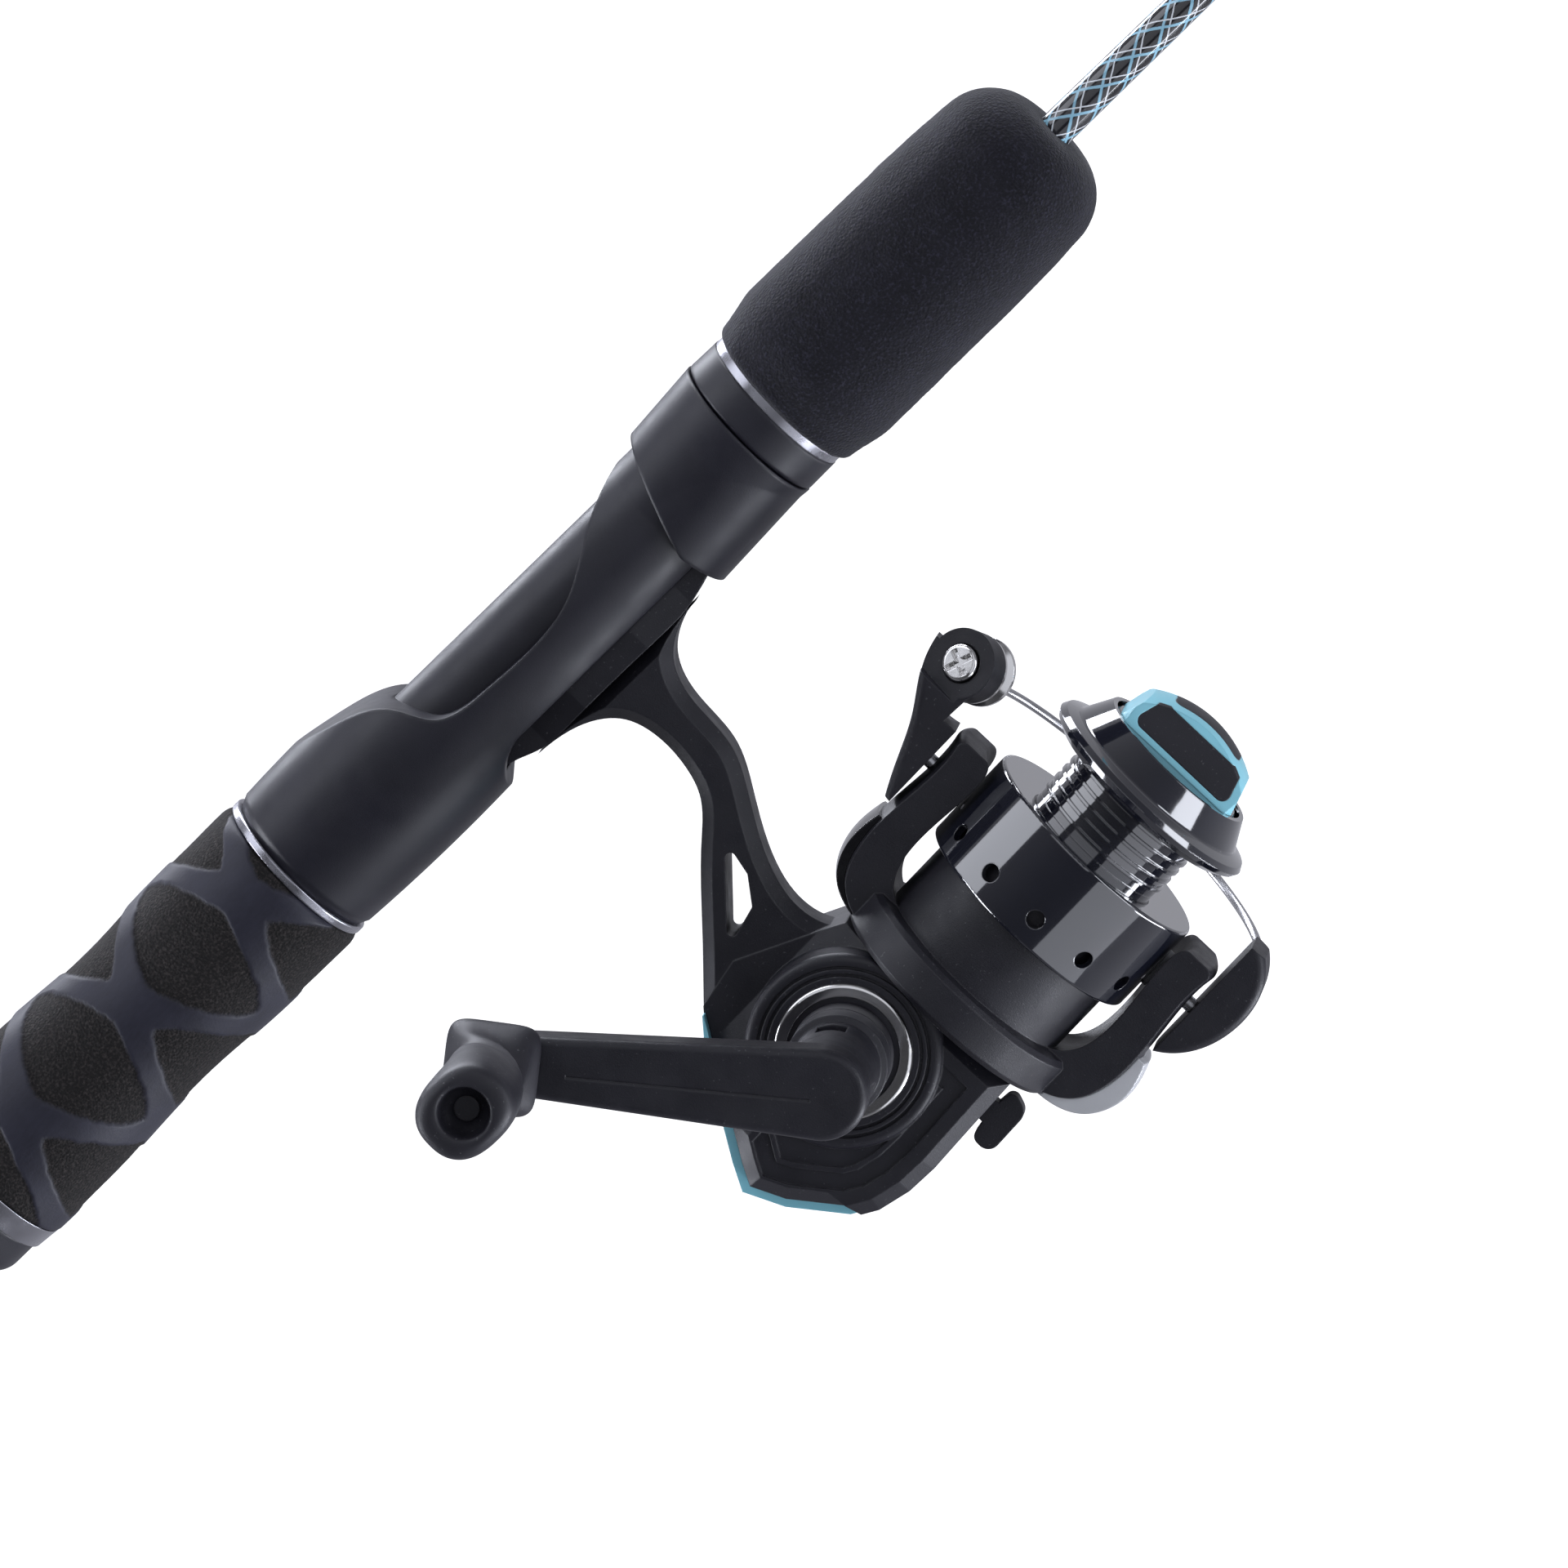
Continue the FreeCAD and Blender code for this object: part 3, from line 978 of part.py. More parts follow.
def spool():
    front, rear, wall = S.skirt_front, S.skirt_rear, S.skirt_wall
    arbor, bore = S.spool_arbor_radius, S.shaft_radius + S.running_gap
    piece = Piece("spool", "reel")
    piece.turn([
        (rear, S.skirt_radius - wall), (rear, S.skirt_radius), (front, S.skirt_radius),
        (front, arbor), (S.spool_arbor_end, arbor), (S.spool_arbor_end, bore),
        (S.cup_end + 2, bore), (S.cup_end + 2, 6.0), (front - wall, 6.0),
        (front - wall, S.skirt_radius - wall)], rounds={1: 0.5, 2: 0.5})
    for step in range(5):
        x = S.skirt_front + 1.3 + 1.7 * step
        piece.turn([(x, arbor - 0.2), (x, arbor + 0.3), (x + 0.5, arbor + 0.3), (x + 0.5, arbor - 0.2)])
    hole = piece.extrude(S.skirt_wall + 4, at=(S.skirt_hole_x, 0, S.skirt_radius - 3), h_dir=X_DIR,
                         v_dir=Y_DIR, circle=(0, 0, S.skirt_hole_radius), cut=True)
    piece.around(hole, N.skirt_holes)

    start = S.spool_arbor_end
    turned("spool_lip", "reel", [
        (start, 3.0), (start, 15.6), (S.lip_rim_x - 0.9, S.lip_radius - 0.5),
        (S.lip_rim_x, S.lip_radius), (S.lip_rim_x + 0.9, S.lip_radius - 0.5),
        (S.lip_rim_x + 1.6, 15.4), (S.lip_front, S.lip_front_radius),
        (S.lip_front, S.drag_pocket_radius), (start + 1.2, S.drag_pocket_radius),
        (start + 1.2, 3.0)], rounds={1: 1.0, 5: 0.8})
    clip = Part.makeCylinder(1.1, 0.8, V(41.0, 0, -N.skirt_radius + 0.05), -Z_DIR)
    ends = clip.fuse([clip.translated(V(-4.4, 0, 0)),
                      box((36.6, -1.1, -N.skirt_radius - 0.75), (41.0, 1.1, -N.skirt_radius + 0.05))])
    ends = ends.cut(Part.makeCylinder(N.skirt_radius, 30, V(25, 0, 0), X_DIR))
    shaped("line_clip", "reel", biggest(ends.removeSplitter()))


def drag_stack():
    start = N.spool_arbor_end + 1.2
    washers = []
    for number in range(4):
        x = start + 0.05 + number * 0.75
        washers.append(Part.makeCylinder(9.6 - 0.4 * (number % 2), 0.7, V(x, 0, 0), X_DIR).cut(
            Part.makeCylinder(N.shaft_radius + 0.1, 2, V(x - 0.5, 0, 0), X_DIR)))
    shaped("drag_washers", "reel", Part.makeCompound(washers))
    plate = start + 3.2
    turned("drag_pressure_plate", "reel", [
        (plate, S.shaft_radius + S.running_gap), (plate, 9.0), (plate + 1.4, 9.0),
        (plate + 2.0, 4.6), (plate + 2.0, S.shaft_radius + S.running_gap)])


def drag_knob():
    """A disc with a tapered bar across it; a coloured frame holds dark side and front panels."""
    rear, front, base = N.knob_rear, N.knob_front, N.knob_disc_front
    disc = turned_shape([(rear, 0), (rear, N.knob_radius), (base - 0.4, N.knob_radius),
                         (base, N.knob_radius - 0.4), (base, 0)])
    shaft_room = Part.makeCylinder(N.shaft_radius + N.running_gap, N.shaft_front + 0.4 - rear,
                                   V(rear, 0, 0), X_DIR)
    sections = []
    for x, tall, wide in ((base, 11.0, 6.4), (front, 8.6, 4.9)):
        corners = [V(x, -wide, -tall), V(x, wide, -tall), V(x, wide, tall), V(x, -wide, tall)]
        sections.append(Part.makePolygon(corners + corners[:1]))
    bar = Part.makeLoft(sections, True, True)
    bar = bar.common(Part.makeSphere(17.5, V(front - 17.5, 0, 0)))
    bar = bar.common(Part.makeCylinder(N.knob_radius, 20, V(rear, 0, 0), X_DIR))
    outline = [(base + 0.9, -9.4), (base + 0.9, 9.4), (front - 1.9, 7.8), (front - 1.9, -7.8)]
    side_panels = [softened(polygon_slab(outline, low, low + 4.4), 1.3,
                            lambda edge: abs(edge.BoundBox.YLength - 4.4) < 0.01)
                   for low in (-9.0, 4.6)]
    front_panel = softened(box((front - 1.7, -3.3, -6.4), (front + 2, 3.3, 6.4)), 1.6,
                           lambda edge: abs(edge.BoundBox.XLength - 3.7) < 0.01)
    panels = side_panels + [front_panel]
    inserts = [bar.common(zone) for zone in panels]
    shaped("drag_knob", "reel", biggest(disc.cut(shaft_room)))
    shaped("drag_knob_frame", "reel", biggest(bar.cut(panels + [shaft_room])))
    shaped("drag_knob_inserts", "reel", Part.makeCompound([biggest(i) for i in inserts]))


# ---------------------------------------------------------------- crank

def crank():
    face, thickness = N.arm_face, N.arm_thickness
    hub = V(0, -face, N.crank_z)
    tip = V(N.arm_reach_x, -face, N.arm_reach_z)
    along = (tip - hub).normalize()
    across = V(-along.z, 0, along.x)
    wide, narrow = N.arm_hub_radius, N.arm_tip_radius
    hub_bar = Part.makeCylinder(wide, thickness, hub, Y_DIR)
    tip_bar = Part.makeCylinder(narrow, thickness, tip, Y_DIR)
    corners = [hub + across * wide, tip + across * narrow, tip - across * narrow, hub - across * wide]
    web = Part.Face(Part.makePolygon(corners + corners[:1])).extrude(V(0, thickness, 0))
    arm = hub_bar.fuse([tip_bar, web]).removeSplitter()
    arm = softened(arm, 1.2, flat_at("y", -face))
    pin_hole = Part.makeCylinder(N.knob_pin_radius, 30, tip + V(0, 2.5, 0), -Y_DIR)
    crease_start = hub + across * 0.8 + along * 1.5
    lip = [crease_start + across * 0.3, crease_start - across * 0.3, crease_start + V(0, 0.22, 0)]
    crease = Part.Face(Part.makePolygon(lip + lip[:1])).extrude(along * (arm.BoundBox.XLength - 6))
    shaped("crank_arm", "reel", arm.cut([pin_hole, crease]))

    gap, seam = N.case_half_width + 1.5, S.boot_step - 5
    boot = turned("crank_boot", "reel", [
        (gap, N.crank_shaft_radius), (gap, S.boot_radius), (S.boot_step, S.boot_radius),
        (S.boot_step + 0.4, S.boot_nose_radius), (S.arm_face - S.arm_thickness, S.boot_nose_radius),
        (S.arm_face - S.arm_thickness, S.crank_shaft_radius)],
        at=(0, 0, S.crank_z), along=-Y_DIR, up=Z_DIR, rounds={1: 0.6})
    boot.turn([(seam, S.boot_radius - 0.3), (seam, S.boot_radius + 1), (seam + 0.35, S.boot_radius + 1),
               (seam + 0.35, S.boot_radius - 0.3)],
              at=(0, 0, S.crank_z), along=-Y_DIR, up=Z_DIR, cut=True)
    out = V(1, 0, 1).normalize()
    boot.extrude(4.0, at=(out.x * 4.4, -N.boot_step - 2.2, N.crank_z + out.z * 4.4), h_dir=-Y_DIR,
                 v_dir=out.cross(-Y_DIR), outline=[(0, -2.2), (4.2, -2.2), (4.2, 2.2), (0, 2.2)],
                 cut=True)
    pin = Part.makeCylinder(N.knob_pin_radius, N.knob_end - face - 1.5, tip + V(0, 2.5, 0), -Y_DIR)
    collar = Part.makeCylinder(3.2, 1.2, tip, -Y_DIR)
    shaped("knob_pin", "reel", pin.fuse(collar))


def handle_knob():
    """A flattened paddle: a squarish base at the arm, a waist and a full oval end."""
    start, end = N.handle_knob_start, N.knob_end
    sections = []
    for share, wide, tall in ((0.0, 5.0, 5.0), (0.08, 6.6, 6.2), (0.3, 7.0, 5.6), (0.62, 7.6, 5.9),
                              (0.88, 7.9, 6.3), (1.0, 6.4, 5.2)):
        y = -(start + (end - start) * share)
        oval = Part.Ellipse(V(wide, 0, 0), V(0, 0, tall), V(0, 0, 0))
        oval.Center = V(N.arm_reach_x, y, N.arm_reach_z)
        sections.append(Part.Wire(oval.toShape()))
    knob = Part.makeLoft(sections, True, False)
    centre = V(N.arm_reach_x, -start + 1, N.arm_reach_z)
    bore = Part.makeCylinder(N.knob_pin_radius + N.running_gap, end - start + 4, centre, -Y_DIR)
    mouth = Part.makeCylinder(3.6, 12, V(N.arm_reach_x, -end + 9, N.arm_reach_z), -Y_DIR)
    shaped("handle_knob", "reel", biggest(knob.cut([bore, mouth])))


# ---------------------------------------------------------------- build and export

def build():
    rod_blank()
    butt()
    rear_grip()
    seat_tube()
    reel_seat()
    hood()
    foregrip()
    guides()
    tip_top()
    reel_body()
    covers()
    axle_spot = gear_train()
    crank_shaft()
    main_shaft(axle_spot)
    pinion()
    anti_reverse_lever()
    rotor()
    bail()
    spool()
    drag_stack()
    drag_knob()
    crank()
    handle_knob()


def check_and_export():
    doc.recompute()
    for thing in doc.Objects:
        bad = [state for state in thing.State if state in ("Invalid", "Error")]
        if bad:
            raise ValueError(f"{thing.Label} is {bad}")
    os.makedirs("parts", exist_ok=True)
    for piece in pieces:
        shape = piece.Shape
        if shape.isNull() or not shape.isValid() or not shape.Solids:
            raise ValueError(f"{piece.Label} has no sound shape")
        shape.exportStep(os.path.join("parts", piece.Label + ".step"))
    print(len(pieces), "pieces written")


build()
check_and_export()
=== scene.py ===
import json
import math

import bpy
from mathutils import Matrix, Vector, noise


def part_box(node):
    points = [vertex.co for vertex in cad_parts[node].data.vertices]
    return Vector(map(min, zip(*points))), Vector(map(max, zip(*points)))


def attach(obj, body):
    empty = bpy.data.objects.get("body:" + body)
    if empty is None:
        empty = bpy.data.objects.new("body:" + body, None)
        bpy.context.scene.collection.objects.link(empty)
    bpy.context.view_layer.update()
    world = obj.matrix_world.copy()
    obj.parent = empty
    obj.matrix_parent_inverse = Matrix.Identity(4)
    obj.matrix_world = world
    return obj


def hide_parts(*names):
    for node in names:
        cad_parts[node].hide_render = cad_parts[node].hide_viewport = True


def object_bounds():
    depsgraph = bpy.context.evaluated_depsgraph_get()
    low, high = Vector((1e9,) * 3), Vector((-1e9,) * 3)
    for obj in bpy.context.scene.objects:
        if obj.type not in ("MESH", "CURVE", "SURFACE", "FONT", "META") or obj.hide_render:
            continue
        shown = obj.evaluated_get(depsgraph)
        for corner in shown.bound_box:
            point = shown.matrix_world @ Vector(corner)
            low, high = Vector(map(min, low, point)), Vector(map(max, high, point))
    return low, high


# Ice fishing rod with a small spinning reel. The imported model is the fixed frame, in metres:
# +X along the rod to the tip, +Z up, the reel below the rod and its crank on the -Y side.

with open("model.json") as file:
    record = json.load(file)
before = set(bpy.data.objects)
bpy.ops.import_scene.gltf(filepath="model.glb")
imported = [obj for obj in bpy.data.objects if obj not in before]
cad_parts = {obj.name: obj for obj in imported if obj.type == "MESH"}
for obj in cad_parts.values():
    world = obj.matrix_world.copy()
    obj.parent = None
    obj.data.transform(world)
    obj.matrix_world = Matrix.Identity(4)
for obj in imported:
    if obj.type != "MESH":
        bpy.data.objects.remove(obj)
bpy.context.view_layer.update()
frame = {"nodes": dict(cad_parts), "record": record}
nodes = frame["nodes"]
MM = 0.001


def box(node):
    """The corners of a CAD node's box, in millimetres."""
    low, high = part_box(node)
    return low / MM, high / MM


# ---------------------------------------------------------------- camera, stage and light

CAMERA_AZIMUTH = 11.3
CAMERA_ELEVATION = 3.2
CAMERA_ROLL = 44.66
CAMERA_DISTANCE = 3.0
VIEW_WIDTH = 0.2304
SENSOR = 36.0
FLOOR_DROP = 0.20
CAMERA_TARGET = Vector((0.137, 0, -0.0411))
LIGHT_TARGET = Vector((0.15, 0, -0.05))
LIGHT_TINT = (0.88, 0.91, 1.0)


def camera_axes():
    """Right, up and back of the rolled camera, as unit vectors."""
    turn, lift = math.radians(CAMERA_AZIMUTH), math.radians(CAMERA_ELEVATION)
    roll = math.radians(CAMERA_ROLL)
    back = Vector((math.sin(turn) * math.cos(lift), -math.cos(turn) * math.cos(lift), math.sin(lift)))
    level = Vector((math.cos(turn), math.sin(turn), 0))
    upright = back.cross(level)
    right = level * math.cos(roll) - upright * math.sin(roll)
    up = level * math.sin(roll) + upright * math.cos(roll)
    return right, up, back


def look_at(thing, spot, right, up, back):
    turn = Matrix((right, up, back)).transposed().to_4x4()
    thing.matrix_world = Matrix.Translation(spot) @ turn


def make_camera():
    camera = bpy.data.objects.new("camera", bpy.data.cameras.new("camera"))
    bpy.context.scene.collection.objects.link(camera)
    right, up, back = camera_axes()
    look_at(camera, CAMERA_TARGET + back * CAMERA_DISTANCE, right, up, back)
    camera.data.sensor_width = SENSOR
    camera.data.lens = SENSOR * CAMERA_DISTANCE / VIEW_WIDTH
    camera.data.clip_start, camera.data.clip_end = 0.1, 60
    bpy.context.scene.camera = camera


def softbox(name, direction, size, power, distance=1.5):
    """A rectangular light; its direction is (right, up, back) as the camera sees them."""
    data = bpy.data.lights.new(name, "AREA")
    data.shape = "RECTANGLE"
    data.size, data.size_y = size
    data.energy = power
    data.color = LIGHT_TINT
    light = bpy.data.objects.new(name, data)
    bpy.context.scene.collection.objects.link(light)
    right, up, back = camera_axes()
    out = (right * direction[0] + up * direction[1] + back * direction[2]).normalized()
    light.location = LIGHT_TARGET + out * distance
    light.rotation_mode = "QUATERNION"
    light.rotation_quaternion = out.to_track_quat("Z", "Y")


def ring_faces(rows, count, closed=False):
    """Four-sided faces between successive rings of count points each."""
    faces = []
    for row in range(rows if closed else rows - 1):
        after_row = (row + 1) % rows
        for step in range(count):
            after = (step + 1) % count
            faces.append((row * count + step, row * count + after,
                          after_row * count + after, after_row * count + step))
    return faces


def lathe(name, profile, count):
    """A mesh turned from (height, radius) points about the vertical axis."""
    mesh = bpy.data.meshes.new(name)
    points = []
    for height, radius in profile:
        for step in range(count):
            a = 2 * math.pi * step / count
            points.append((radius * math.cos(a), radius * math.sin(a), height))
    faces = ring_faces(len(profile), count)
    mesh.from_pydata(points, [], faces)
    mesh.update()
    thing = bpy.data.objects.new(name, mesh)
    bpy.context.scene.collection.objects.link(thing)
    for face in mesh.polygons:
        face.use_smooth = True
    return thing


def make_stage():
    """A pale floor under the object and a pale dome far behind it."""
    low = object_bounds()[0].z - FLOOR_DROP
    floor = lathe("floor", [(low, 0.001), (low, 14.0)], 64)
    dome = lathe("backdrop", [(low - 0.02, 14.0), (low + 2.0, 13.9), (low + 7.0, 12.0),
                              (low + 12.0, 7.0), (low + 14.0, 0.01)], 64)
    white = bpy.data.materials.new("pale_paint")
    white.use_nodes = True
    shader = white.node_tree.nodes["Principled BSDF"]
    shader.inputs["Base Color"].default_value = (0.93, 0.93, 0.94, 1)
    shader.inputs["Roughness"].default_value = 0.9
    shader.inputs["Emission Color"].default_value = (1, 1, 1, 1)
    shader.inputs["Emission Strength"].default_value = 1.0
    for thing in (floor, dome):
        thing.data.materials.append(white)
        thing.visible_diffuse = thing.visible_glossy = False
        thing.visible_transmission = thing.visible_shadow = False


def make_world():
    """Soft light from all round, brighter behind than from the camera's side."""
    world = bpy.data.worlds.new("soft_room")
    bpy.context.scene.world = world
    world.use_nodes = True
    tree = world.node_tree
    coord = tree.nodes.new("ShaderNodeTexCoord")
    split = tree.nodes.new("ShaderNodeSeparateXYZ")
    ramp = tree.nodes.new("ShaderNodeMapRange")
    ramp.inputs["From Min"].default_value = -1.0
    ramp.inputs["From Max"].default_value = 1.0
    ramp.inputs["To Min"].default_value = 0.05
    ramp.inputs["To Max"].default_value = 0.50
    tree.links.new(coord.outputs["Generated"], split.inputs[0])
    tree.links.new(split.outputs["Y"], ramp.inputs["Value"])
    tree.links.new(ramp.outputs["Result"], tree.nodes["Background"].inputs["Strength"])
    tree.nodes["Background"].inputs["Color"].default_value = (0.90, 0.91, 1.0, 1)


def make_lights():
    softbox("key_softbox", (-0.66, 0.66, 0.36), (1.3, 1.0), 8)
    softbox("panel_softbox", (0.58, -0.58, 0.62), (1.5, 1.5), 6)
    softbox("side_softbox", (0.85, 0.05, 0.55), (0.35, 1.1), 6)
    softbox("rim_strip", (-0.35, 0.80, -0.50), (1.6, 0.4), 26)
    softbox("left_strip", (-0.95, -0.25, -0.10), (0.4, 1.3), 20)
    softbox("low_strip", (0.75, -0.62, 0.0), (1.2, 0.35), 20)
    softbox("front_softbox", (-0.10, 0.25, 1.0), (1.4, 1.4), 4)


# ---------------------------------------------------------------- materials

class Paint:
    """One procedural material: a Principled shader and the nodes that feed it."""

    def __init__(self, name):
        self.material = bpy.data.materials.new(name)
        self.material.use_nodes = True
        self.tree = self.material.node_tree
        self.shader = self.tree.nodes["Principled BSDF"]
        self.place = self.add("ShaderNodeTexCoord").outputs["Object"]

    def add(self, kind, **values):
        node = self.tree.nodes.new(kind)
        for key, value in values.items():
            setattr(node, key, value)
        return node

    def put(self, value, socket):
        """Links an output to a socket, or sets the socket to a plain value."""
        if isinstance(value, bpy.types.NodeSocket):
            self.tree.links.new(value, socket)
        else:
            socket.default_value = value

    def math(self, operation, first, second=0.0, third=0.0):
        node = self.add("ShaderNodeMath", operation=operation)
        for value, socket in zip((first, second, third), node.inputs):
            self.put(value, socket)
        return node.outputs[0]

    def noise(self, size, detail=3.0, stretch=None):
        """Noise from 0 to 1 whose blotches are about size millimetres across."""
        node = self.add("ShaderNodeTexNoise")
        place = self.place
        if stretch:
            mapping = self.add("ShaderNodeMapping")
            self.put(place, mapping.inputs["Vector"])
            mapping.inputs["Scale"].default_value = stretch
            place = mapping.outputs[0]
        self.put(place, node.inputs["Vector"])
        node.inputs["Scale"].default_value = 1 / (size * MM)
        node.inputs["Detail"].default_value = detail
        return node.outputs[0]

    def cells(self, size):
        node = self.add("ShaderNodeTexVoronoi")
        self.put(self.place, node.inputs["Vector"])
        node.inputs["Scale"].default_value = 1 / (size * MM)
        return node.outputs["Distance"]

    def ranged(self, value, low, high, start=0.0, end=1.0):
        """Maps value from start..end to low..high, clamped."""
        node = self.add("ShaderNodeMapRange")
        for name, number in (("Value", value), ("From Min", start), ("From Max", end),
                             ("To Min", low), ("To Max", high)):
            self.put(number, node.inputs[name])
        return node.outputs["Result"]

    def mix(self, share, first, second):
        node = self.add("ShaderNodeMix", data_type="RGBA")
        self.put(share, node.inputs["Factor"])
        for value, socket in ((first, node.inputs[6]), (second, node.inputs[7])):
            self.put(value if isinstance(value, bpy.types.NodeSocket) else (*value, 1.0), socket)
        return node.outputs[2]

    def split(self):
        node = self.add("ShaderNodeSeparateXYZ")
        self.put(self.place, node.inputs[0])
        return node.outputs["X"], node.outputs["Y"], node.outputs["Z"]

    def edges(self, width):
        """The normal with its edges rounded over width millimetres, and how near an edge is."""
        bevel = self.add("ShaderNodeBevel", samples=6)
        bevel.inputs["Radius"].default_value = width * MM
        plain = self.add("ShaderNodeNewGeometry")
        dot = self.add("ShaderNodeVectorMath", operation="DOT_PRODUCT")
        self.put(bevel.outputs[0], dot.inputs[0])
        self.put(plain.outputs["Normal"], dot.inputs[1])
        near = self.ranged(dot.outputs["Value"], 1.0, 0.0, 0.72, 0.995)
        return bevel.outputs[0], near

    def bump(self, heights, normal=None):
        """Adds relief from (height output, depth in millimetres) pairs."""
        for height, depth in heights:
            node = self.add("ShaderNodeBump")
            node.inputs["Distance"].default_value = depth * MM
            self.put(height, node.inputs["Height"])
            if normal is not None:
                self.put(normal, node.inputs["Normal"])
            normal = node.outputs[0]
        self.put(normal, self.shader.inputs["Normal"])

    def set(self, **values):
        for key, value in values.items():
            self.shader.inputs[key.replace("_", " ")].default_value = value


def scaled(colour, factor):
    return tuple(min(1.0, channel * factor) for channel in colour)


def surface(name, colour, rough, grain=0.25, relief=0.02, mottle=0.15, spread=0.08, edge=0.25,
            edge_wear_and_highlight=0.35, metallic=0.0, brushed=None, coat=0.0, dust=0.0):
    """A material with blotchy colour, uneven gloss, fine relief and paler edges that are partly wear and
    partly a painted edge highlight.
    """
    paint = Paint(name)
    blotch = paint.noise(9.0, 4.0)
    fine = paint.noise(grain, 2.0, stretch=brushed)
    tint = paint.mix(paint.ranged(blotch, 0.0, 1.0, 0.3, 0.7), scaled(colour, 1 - mottle),
                     scaled(colour, 1 + mottle))
    normal, near = paint.edges(edge)
    # Paler edges where an edge meets patchy noise: partly real wear, partly a painted highlight for
    # light caught on rounded edges.
    patchy_wear_and_highlight = paint.ranged(paint.noise(1.6, 5.0), 0.2, 1.0, 0.35, 0.62)
    wear_and_highlight_mask = paint.math("MULTIPLY", paint.math("MULTIPLY", near, patchy_wear_and_highlight), edge_wear_and_highlight)
    pale = tuple(min(1.0, 0.55 * c + 0.10) for c in scaled(colour, 2.2))
    tint = paint.mix(wear_and_highlight_mask, tint, pale)
    if dust:
        specks = paint.ranged(paint.noise(0.5, 1.0), 0.0, dust, 0.70, 0.78)
        tint = paint.mix(specks, tint, (0.35, 0.35, 0.36))
    paint.put(tint, paint.shader.inputs["Base Color"])
    gloss = paint.ranged(paint.noise(4.0, 5.0), rough - spread, rough + spread, 0.3, 0.7)
    gloss = paint.math("MULTIPLY_ADD", fine, spread * 0.6, gloss)
    gloss = paint.math("SUBTRACT", gloss, paint.math("MULTIPLY", wear_and_highlight_mask, 0.1))
    paint.put(gloss, paint.shader.inputs["Roughness"])
    paint.bump([(fine, relief)], normal)
    paint.set(Metallic=metallic, Coat_Weight=coat)
    return paint


def grip_foam(name, colour):
    """Closed-cell foam: a matt skin of tiny open cells."""
    paint = Paint(name)
    cells = paint.cells(0.42)
    fine = paint.noise(0.45, 4.0)
    blotch = paint.noise(5.0, 4.0)
    tint = paint.mix(paint.ranged(blotch, 0.0, 1.0, 0.3, 0.7), scaled(colour, 0.75),
                     scaled(colour, 1.25))
    tint = paint.mix(paint.ranged(fine, 0.0, 1.0, 0.50, 0.72), tint, scaled(colour, 3.2))
    paint.put(tint, paint.shader.inputs["Base Color"])
    paint.put(paint.ranged(fine, 0.78, 0.95), paint.shader.inputs["Roughness"])
    paint.bump([(cells, 0.10), (fine, 0.10)])
    paint.set(Specular_IOR_Level=0.25, Sheen_Weight=0.12, Sheen_Roughness=0.5)
    return paint


def banded_grip(name, foam, band):
    """Foam with a smooth printed skin where the mesh's band attribute is 1."""
    paint = Paint(name)
    share = paint.add("ShaderNodeAttribute", attribute_name="band").outputs["Fac"]
    fine = paint.noise(0.42, 4.0)
    cells = paint.cells(0.38)
    blotch = paint.noise(7.0, 4.0)
    foamy = paint.mix(paint.ranged(fine, 0.0, 1.0, 0.46, 0.70), scaled(foam, 0.7), scaled(foam, 4.2))
    streak = paint.noise(0.5, 3.0, stretch=(0.25, 1.0, 1.0))
    smooth = paint.mix(paint.ranged(blotch, 0.0, 1.0, 0.3, 0.7), scaled(band, 0.75),
                       scaled(band, 1.2))
    smooth = paint.mix(paint.ranged(streak, 0.0, 0.25, 0.4, 0.7), smooth, scaled(band, 1.7))
    paint.put(paint.mix(share, foamy, smooth), paint.shader.inputs["Base Color"])
    foam_rough = paint.ranged(fine, 0.80, 0.96)
    skin_rough = paint.ranged(streak, 0.46, 0.60)
    rough = paint.add("ShaderNodeMix", data_type="FLOAT")
    for value, socket in zip((share, foam_rough, skin_rough), rough.inputs[:1] + rough.inputs[2:4]):
        paint.put(value, socket)
    paint.put(rough.outputs[0], paint.shader.inputs["Roughness"])
    open_cells = paint.math("MULTIPLY", cells, paint.math("SUBTRACT", 1.0, share))
    paint.bump([(open_cells, 0.12), (fine, 0.03)])
    paint.set(Specular_IOR_Level=0.4)
    return paint


def threaded_blank(name):
    """Clear-coated black with crossing helical threads, light blue beside thin white."""
    pitch, starts = 24.8, 4
    paint = surface(name, (0.010, 0.010, 0.013), 0.16, grain=0.4, relief=0.004, mottle=0.3,
                    edge=0.1, edge_wear_and_highlight=0.1, coat=1.0)
    tint = paint.shader.inputs["Base Color"].links[0].from_socket
    glints = paint.ranged(paint.cells(0.55), 1.0, 0.0, 0.04, 0.10)
    chosen = paint.ranged(paint.noise(0.9, 1.0), 0.0, 0.8, 0.60, 0.66)
    tint = paint.mix(paint.math("MULTIPLY", glints, chosen), tint, (0.55, 0.65, 0.75))
    x, y, z = paint.split()
    around = paint.math("DIVIDE", paint.math("ARCTAN2", z, y), 2 * math.pi)
    along = paint.math("DIVIDE", x, pitch * MM)
    wobble = paint.ranged(paint.noise(2.5, 2.0), -0.02, 0.02, 0.3, 0.7)
    for hand in (1, -1):
        turn = paint.math("MULTIPLY_ADD", around, hand, along)
        cycle = paint.math("FRACT", paint.math("MULTIPLY_ADD", turn, starts, wobble))
        for middle, half, colour in ((0.36, 0.062, (0.30, 0.58, 0.74)),
                                     (0.64, 0.032, (0.80, 0.84, 0.88))):
            away = paint.math("ABSOLUTE", paint.math("SUBTRACT", cycle, middle))
            line = paint.ranged(away, 1.0, 0.0, half * 0.75, half * 1.15)
            tint = paint.mix(line, tint, colour)
    paint.put(tint, paint.shader.inputs["Base Color"])
    return paint


